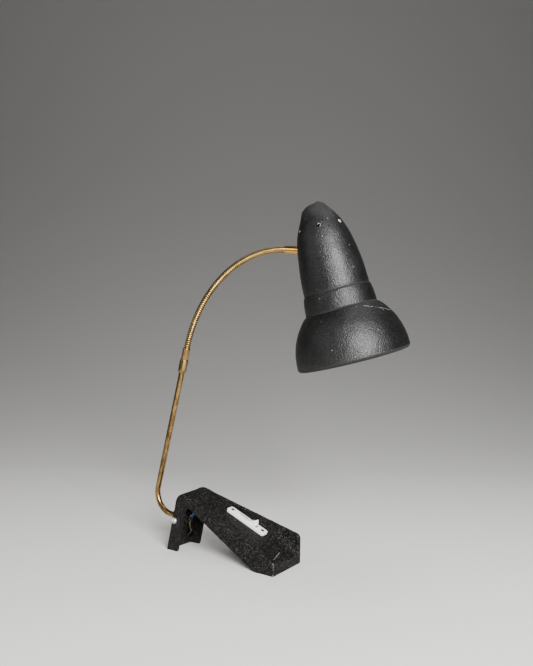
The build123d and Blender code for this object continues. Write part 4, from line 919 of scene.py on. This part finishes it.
push = leaning(CROWN_PUSH_LEAN)
crown_corner = max((vert.co for vert in casting.verts), key=push.dot).copy()
for vert in casting.verts:
    away = ((vert.co - crown_corner) * Vector((1, 0, 1))).length / CROWN_PUSH_REACH
    if vert.normal.dot(push) > 0:
        vert.co += push * CROWN_PUSH * math.exp(-away * away)
crown = [
    vert
    for vert in casting.verts
    if vert.co.x < CROWN_FRONT
    and vert.co.z > CROWN_FOOT
    and vert.normal.z > 0
    and vert.co.y < fence_side(vert.co.x)
]
for vert in crown:
    across = (vert.co.y + REAR_HALF_WIDTH) / (fence_side(vert.co.x) + REAR_HALF_WIDTH)
    vert.co.z += CROWN_LIFT * max(across, 0.0) * ease(-vert.co.x, -CROWN_FRONT, -CROWN_FRONT + CROWN_RUN)
smooth(casting, crown, CROWN_SMOOTHING)
tray = [
    vert
    for vert in casting.verts
    if TRAY_BACK < vert.co.x < base_high.x - TRAY_EDGE
    and TRAY_EDGE - base_high.y < vert.co.y < fence_side(vert.co.x)
    and vert.co.z > TRAY_FOOT
    and vert.normal.z > TRAY_LEVEL
]
smooth(casting, tray, TRAY_SMOOTHING)
print("crown:", len(crown), "points, tray:", len(tray), "points")

# %% [markdown]
# Along the fence the deck rises in a wide cove, so the points in that corner are pressed out onto an
# arc. A slow noise then leaves the casting uneven all over, except on the soles that it stands on.

# %% Cove and lumps
COVE_BACK = -92.0 * MM
COVE_MOST = 13.0 * MM
COVE_SHARE = 0.8
COVE_EDGE = 1.5 * MM
COVE_SMOOTHING = 10
FENCE_HEIGHT = 38.0 * MM
FENCE_SLOPE = math.radians(15.7)
FENCE_BACK = 0.5
DECK_SLOPE = math.radians(22.9)
DECK_MARK = (-60.0 * MM, 48.5 * MM)
TRAY_SLOPE = math.radians(33.4)
TRAY_MARK = (5.0 * MM, 15.7 * MM)
CAST_LUMP_DEPTH = 0.16 * MM
CAST_LUMP_SIZE = 6.0 * MM
SOLE_HEIGHT = 1.0 * MM


def fence_top(x):
    """Height of the fence, which rises towards the crown."""
    return FENCE_HEIGHT + (base_high.x - x) * math.tan(FENCE_SLOPE)


def floor_height(x):
    """Height of the deck, or of the tray where that is lower, at the foot of the fence."""
    deck = DECK_MARK[1] + (DECK_MARK[0] - x) * math.tan(DECK_SLOPE)
    tray_floor = TRAY_MARK[1] + (TRAY_MARK[0] - x) * math.tan(TRAY_SLOPE)
    return min(deck, tray_floor)


def cove_radius(x):
    """Radius of the cove between the deck and the fence, smaller where the fence is lower."""
    return min(COVE_SHARE * (fence_top(x) - floor_height(x)), COVE_MOST)


cove = []
for vert in casting.verts:
    radius = cove_radius(vert.co.x)
    inward = fence_side(vert.co.x) - vert.co.y
    above = vert.co.z - floor_height(vert.co.x)
    in_corner = -COVE_EDGE < inward < radius and -COVE_EDGE < above < radius
    if in_corner and vert.co.x > COVE_BACK and vert.normal.y < FENCE_BACK:
        to_arc = Vector((radius - inward, radius - above))
        lift = max(0.0, to_arc.length - radius) * to_arc.normalized()
        vert.co += Vector((0, -lift.x, lift.y))
        if vert.co.x < base_high.x - COVE_EDGE:
            cove.append(vert)
smooth(casting, cove, COVE_SMOOTHING)
casting.normal_update()
for vert in casting.verts:
    if vert.co.z > SOLE_HEIGHT:
        vert.co += vert.normal * CAST_LUMP_DEPTH * noise.noise(vert.co / CAST_LUMP_SIZE)
face_outwards(casting)
print("cove:", len(cove), "points")

# %% [markdown]
# Wear goes where hands and desks rub: on outward edges. A point on such an edge stands above the mean
# of its neighbours, so that height is kept as a wear value, which the enamel reads. The near corner is
# worn most and the cove not at all. One long scratch crosses the tray.

# %% Wear on the casting
WEAR_START = 0.035 * MM
WEAR_FULL = 0.12 * MM
EDGE_WEAR = 0.72
CORNER_WEAR = 1.0
CORNER_REACH = 14.0 * MM
SCRATCH_START = Vector((0.0102, -0.0235, 0.0))
SCRATCH_END = Vector((0.0033, 0.0009, 0.0))
SCRATCH_WIDTH = 0.8 * MM
SCRATCH_FLOOR = 12.0 * MM
SCRATCH_LEVEL = 0.5
SOFT_CORNER = math.radians(75)


def off_line(point, start, end):
    """Distance of a point from a line on the plan."""
    way = end - start
    share = min(max((point - start).dot(way) / way.length_squared, 0.0), 1.0)
    return (point - start - way * share).length


casting.normal_update()
near_corner = Vector((base_high.x, base_low.y, 0))
wear = casting.verts.layers.float.new("wear")
for vert in casting.verts:
    rise = sum((vert.co - edge.other_vert(vert).co).dot(vert.normal) for edge in vert.link_edges)
    at_corner = on_plan(vert.co - near_corner).length < CORNER_REACH
    share = CORNER_WEAR if at_corner else EDGE_WEAR
    x = vert.co.x
    beside_fence = -cove_radius(x) < vert.co.y - fence_side(x) < COVE_EDGE
    below_top = vert.co.z < fence_top(x) - TRAY_EDGE
    if not (beside_fence and below_top):
        vert[wear] = share * ease(rise / len(vert.link_edges), WEAR_START, WEAR_FULL)
    on_tray = vert.co.z > SCRATCH_FLOOR and vert.normal.z > SCRATCH_LEVEL
    if on_tray and off_line(on_plan(vert.co), SCRATCH_START, SCRATCH_END) < SCRATCH_WIDTH:
        vert[wear] = 1.0
base_shell = make_piece("base_shell", casting, [base_enamel], "base", SOFT_CORNER)
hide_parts("base_casting")

# %% [markdown]
# The insulated cores show through the arch and inside the shade. Each one is a smooth line, led by
# the same few points as in the solid model and drawn as a NURBS curve with a round section, which
# bends as a soft wire does.

# %% Cores
CORE_RADIUS = 1.0 * MM
CORE_FACETS = 4
CORE_STEPS = 8
CORE_ORDER = 3
CORE_ROUTES = {
    "neutral_core": (blue_rubber, "blue_core", [
        (-154.7, 0.0, 43.7), (-144.7, 0.0, 43.7), (-137.7, -5, 51.5),
        (-122.9, -6.0, 62.8), (-115.1, -6.0, 60.6), (-111.9, -6.0, 59.3),
    ]),
    "switched_live_core": (brown_rubber, "brown_core", [
        (-154.7, 1.1, 41.9), (-144.7, 1.1, 41.9), (-136.7, 3, 52.5), (-116.8, 15.0, 59.2),
        (-97.6, 14.0, 50.8), (-85.3, 11.0, 41.2), (-76.6, 11.0, 37.5),
    ]),
    "live_feed_core": (brown_rubber, "brown_core", [
        (-102.7, 6.0, 55.4), (-94.9, 6.0, 52.1), (-87.2, 5.0, 44.5),
        (-67.8, 6.0, 32.7), (-59.5, 11.0, 30.3), (-50.8, 11.0, 26.6),
    ]),
    "earth_core": (earth_rubber, "earth_core", [
        (-154.7, -1.1, 41.9), (-144.7, -1.1, 41.9), (-141.7, -5, 41.5),
        (-141.7, -8, 37.0), (-140.7, -7, 31.0), (-142.7, -2.5, 25.5),
        (-148.9, 1.7, 20.1), (-156.4, 4.2, 16.1), (-157.9, 9.7, 15.6),
    ]),
}
HEAD_ROUTE = [
    (-33, -51.3), (-23.6, -54.7), (-15.6, -50.7), (-8.6, -49.7), (-2, -54.7), (0, -59), (0, -69.5),
]
HEAD_CORES = {
    "head_neutral_core": (blue_rubber, "blue_core", 1.05),
    "head_live_core": (brown_rubber, "brown_core", -1.05),
}


def soft_core(name, finish, body, route):
    """Round core along a smooth line that a few points lead through the air."""
    curve = bpy.data.curves.new(f"soft_{name}", "CURVE")
    curve.dimensions = "3D"
    curve.bevel_depth = CORE_RADIUS
    curve.bevel_resolution = CORE_FACETS
    curve.use_fill_caps = True
    spline = curve.splines.new("NURBS")
    spline.points.add(len(route) - 1)
    for point, place in zip(spline.points, route):
        point.co = (*place, 1)
    spline.order_u = CORE_ORDER
    spline.use_endpoint_u = True
    spline.resolution_u = CORE_STEPS
    curve.materials.append(finish)
    core = bpy.data.objects.new(f"soft_{name}", curve)
    collection.objects.link(core)
    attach(core, body)
    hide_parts(name)


for name, (finish, slot, route) in CORE_ROUTES.items():
    soft_core(name, finish, "base", [Vector(point) * MM for point in route])
for name, (finish, slot, side) in HEAD_CORES.items():
    route = [shade_frame @ (Vector((x, side, z)) * MM) for x, z in HEAD_ROUTE]
    soft_core(name, finish, "head", route)
print("cores:", len(CORE_ROUTES) + len(HEAD_CORES))

# %% [markdown]
# The stem is one brass tube, bent round a former. It is made the same way: a ring is drawn straight
# through the socket, turned round the middle of the bend, and drawn straight up to the ferrule.

# %% Stem
STEM_RADIUS = 4.0 * MM
STEM_WALL = 1.0 * MM
STEM_HEIGHT = 42.5 * MM
STEM_BEND_RADIUS = 30.0 * MM
STEM_FRONT = -146.7 * MM
STEM_CORNER = -219.0 * MM
STEM_TOP_DROP = 22.55 * MM
STEM_RING_STEPS = 48
STEM_BEND_STEPS = 48
stem_turn = math.pi / 2 + STEM_LEAN
bend_start = STEM_CORNER + STEM_BEND_RADIUS * math.tan(stem_turn / 2)
bend_centre = Vector((bend_start, 0, STEM_HEIGHT + STEM_BEND_RADIUS))


def only(items, kind):
    """The points, or the edges, among what an operator made."""
    return [item for item in items if isinstance(item, kind)]


def drawn(shape, edges, way):
    """Draw edges along a way, and return the edges at the far end."""
    made = bmesh.ops.extrude_edge_only(shape, edges=edges)["geom"]
    bmesh.ops.translate(shape, verts=only(made, bmesh.types.BMVert), vec=way)
    return [edge for edge in only(made, bmesh.types.BMEdge) if edge.is_boundary]


pipe = bmesh.new()
ring_place = Matrix.Translation((STEM_FRONT, 0, STEM_HEIGHT)) @ Matrix.Rotation(-math.pi / 2, 4, "Y")
bmesh.ops.create_circle(pipe, segments=STEM_RING_STEPS, radius=STEM_RADIUS, matrix=ring_place)
ring = drawn(pipe, pipe.edges[:], (bend_start - STEM_FRONT, 0, 0))
turned = bmesh.ops.spin(
    pipe, geom=ring, cent=bend_centre, axis=(0, 1, 0), angle=stem_turn, steps=STEM_BEND_STEPS
)
ring = only(turned["geom_last"], bmesh.types.BMEdge)
bend_end = sum((edge.verts[0].co + edge.verts[1].co for edge in ring), Vector()) / (2 * len(ring))
stem_top = neck_start - leaning(STEM_LEAN) * STEM_TOP_DROP
drawn(pipe, ring, stem_top - bend_end)
weld(pipe)
face_outwards(pipe)
bmesh.ops.solidify(pipe, geom=pipe.faces[:], thickness=STEM_WALL)
stem_pipe = make_piece("stem_pipe", pipe, [stem_brass], "base")
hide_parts("stem_tube")

# %% [markdown]
# The switch's plate and rocker are moulded, with soft edges all round. They are rebuilt from small even
# faces and smoothed as the casting was, and the ends of the rocker, where a thumb presses, are smoothed
# for longer. A thin line of the plate round the rocker is painted darker, as painted shade in the gap.

# %% Switch
MOULD_GRID = 0.3 * MM
MOULD_SMOOTHING = 4
THUMB_SMOOTHING = 22
THUMB_HEIGHT = 4.4 * MM
ROCKER_TILT = math.radians(14.0)
ROCKER_HALF_LENGTH = 16.8 * MM
ROCKER_HALF_WIDTH = 3.6 * MM
GAP_SHADE_WIDTH = 0.55 * MM
rocker_pin = Vector(joints["switch_rock"]["pos_m"])
rocker_up = leaning(DECK_SLOPE - ROCKER_TILT)
deck_way = leaning(math.pi / 2 + DECK_SLOPE)
for name, body in {"switch_plate": "base", "switch_rocker": "rocker"}.items():
    moulding = rebuilt(name, MOULD_GRID)
    smooth(moulding, moulding.verts, MOULD_SMOOTHING)
    if body == "rocker":
        thumbs = [vert for vert in moulding.verts if rocker_up.dot(vert.co - rocker_pin) > THUMB_HEIGHT]
        smooth(moulding, thumbs, THUMB_SMOOTHING)
    else:
        # Painted shade: a thin dark line on the plate round the rocker.
        darkening = moulding.verts.layers.float.new("darkening")
        for vert in moulding.verts:
            along = abs(deck_way.dot(vert.co - rocker_pin)) - ROCKER_HALF_LENGTH
            across = abs(vert.co.y - rocker_pin.y) - ROCKER_HALF_WIDTH
            vert[darkening] = float(abs(max(along, across)) < GAP_SHADE_WIDTH)
    face_outwards(moulding)
    piece = make_piece(f"moulded_{name}", moulding, [white_plastic], body, SOFT_CORNER)
    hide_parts(name)

# %% [markdown]
# The smaller pieces that show are turned, pressed or moulded, and the solid model already has their
# shapes. Each one is copied, its flat faces are joined again, and its corners get a small round in
# millimetres, since it is the round on an edge that catches the light. The set screw and the glass
# keep their edges.

# %% Small pieces with rounded edges
FLAT_ANGLE = math.radians(0.5)
ROUNDED_PIECES = (
    ("stem_set_screw", bare_steel, "steel", 0.0),
    ("switch_screws", black_steel, "dark_steel", 0.12),
    ("shade_washer", bare_steel, "steel", 0.12),
    ("shade_lock_nut", holder_brass, "holder_brass", 0.2),
    ("holder_bracket", bare_steel, "steel", 0.15),
    ("holder_cap", holder_brass, "holder_brass", 0.2),
    ("holder_barrel", holder_brass, "holder_brass", 0.2),
    ("holder_nut", holder_brass, "holder_brass", 0.15),
    ("bulb_cap", plated_steel, "bulb_metal", 0.15),
    ("bulb_glass", bulb_glass, "bulb_glass", 0.0),
)
bodies = frame["record"]["behaviour"]["bodies"]
body_of_node = {name: body for body, names in bodies.items() for name in names}
for name, finish, slot, radius in ROUNDED_PIECES:
    shape = copied(name)
    bmesh.ops.dissolve_limit(shape, angle_limit=FLAT_ANGLE, verts=shape.verts, edges=shape.edges)
    if radius:
        bmesh.ops.bevel(
            shape,
            geom=[edge for edge in shape.edges if edge.calc_face_angle(0.0) > CORNER_ANGLE],
            offset=radius * MM,
            segments=2,
            profile=0.5,
            affect="EDGES",
            clamp_overlap=True,
            material=-1,
        )
    piece = make_piece(f"rounded_{name}", shape, [finish], body_of_node[name])
    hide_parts(name)

# %% [markdown]
# The rest sits inside the lamp, and only takes its finish.

# %% Finishes on the pieces that keep their shape
NODE_FINISHES = (
    (holder_brass, "shade_nipple contact_plungers switch_terminals connector_screws terminal_screws"),
    (black_steel, "earth_tag earth_screw"),
    (plated_steel, "bulb_contacts"),
    (bare_steel, "block_screw contact_leaf plunger_springs rocker_pin bulb_filament"),
    (dark_plastic, "switch_box switch_back connector_block holder_insert"),
    (bulb_glass, "bulb_stem"),
)
painted = 0
for finish, names in NODE_FINISHES:
    for name in names.split():
        for material_slot in nodes[name].material_slots:
            material_slot.material = finish
            painted += 1
print("painted:", painted)

# %% [markdown]
# The stage is a pale sweep: a floor that turns up into a wall with a wide bend, so no line shows
# behind the lamp.

# %% Stage
SWEEP_SIZE = 14.0
SWEEP_BEND = 4.2
SWEEP_BACK = 5.0
BEND_STEPS = 16
sweep = bmesh.new()
bmesh.ops.create_grid(sweep, x_segments=1, y_segments=1, size=SWEEP_SIZE / 2)
back_edge = max(sweep.edges, key=lambda edge: edge.verts[0].co.y + edge.verts[1].co.y)
drawn(sweep, [back_edge], (0, 0, SWEEP_SIZE))
bmesh.ops.bevel(
    sweep,
    geom=[back_edge],
    offset=SWEEP_BEND,
    segments=BEND_STEPS,
    profile=0.5,
    affect="EDGES",
    material=-1,
)
face_camera = Matrix.Rotation(math.atan2(-CAMERA_LOOK.x, CAMERA_LOOK.y), 4, "Z")
set_back = Matrix.Translation((0, SWEEP_BACK - SWEEP_SIZE / 2, 0))
put(sweep, face_camera @ set_back)
stage = as_object("stage", sweep)
stage.data.shade_smooth()
stage_paper = moulded("stage_paper", (0.78, 0.77, 0.75), (0.80, 0.79, 0.77), 0.85, 0.95, 0.02 * MM)
stage.data.materials.append(stage_paper)
print("stage:", len(stage.data.polygons), "faces")

# %% [markdown]
# A large soft light stands near the camera, as in the photograph, a second one fills the other side,
# and a third one lights the floor and the wall from above. A weak even sky lifts the shadows.

# %% Lights
LIGHT_AIM = Vector((-0.03, 0.0, 0.25))
SOFT_LIGHTS = {
    "key": ((1.15, -0.95, 0.75), 0.75, 78.0),
    "fill": ((-0.9, -1.3, 0.9), 0.6, 4.5),
    "top": ((0.1, 0.2, 1.9), 1.2, 11.0),
}
WORLD_COLOUR = (0.85, 0.86, 0.88, 1)
WORLD_STRENGTH = 0.06
for name, (place, size, power) in SOFT_LIGHTS.items():
    data = bpy.data.lights.new(name, "AREA")
    data.shape = "SQUARE"
    data.size = size
    data.energy = power
    light = bpy.data.objects.new(name, data)
    light.location = place
    light.rotation_euler = (LIGHT_AIM - Vector(place)).to_track_quat("-Z", "Y").to_euler()
    collection.objects.link(light)
world = bpy.data.worlds.new("studio")
world.use_nodes = True
background = world.node_tree.nodes["Background"]
background.inputs["Color"].default_value = WORLD_COLOUR
background.inputs["Strength"].default_value = WORLD_STRENGTH
bpy.context.scene.world = world
print("lights:", len(bpy.data.lights))
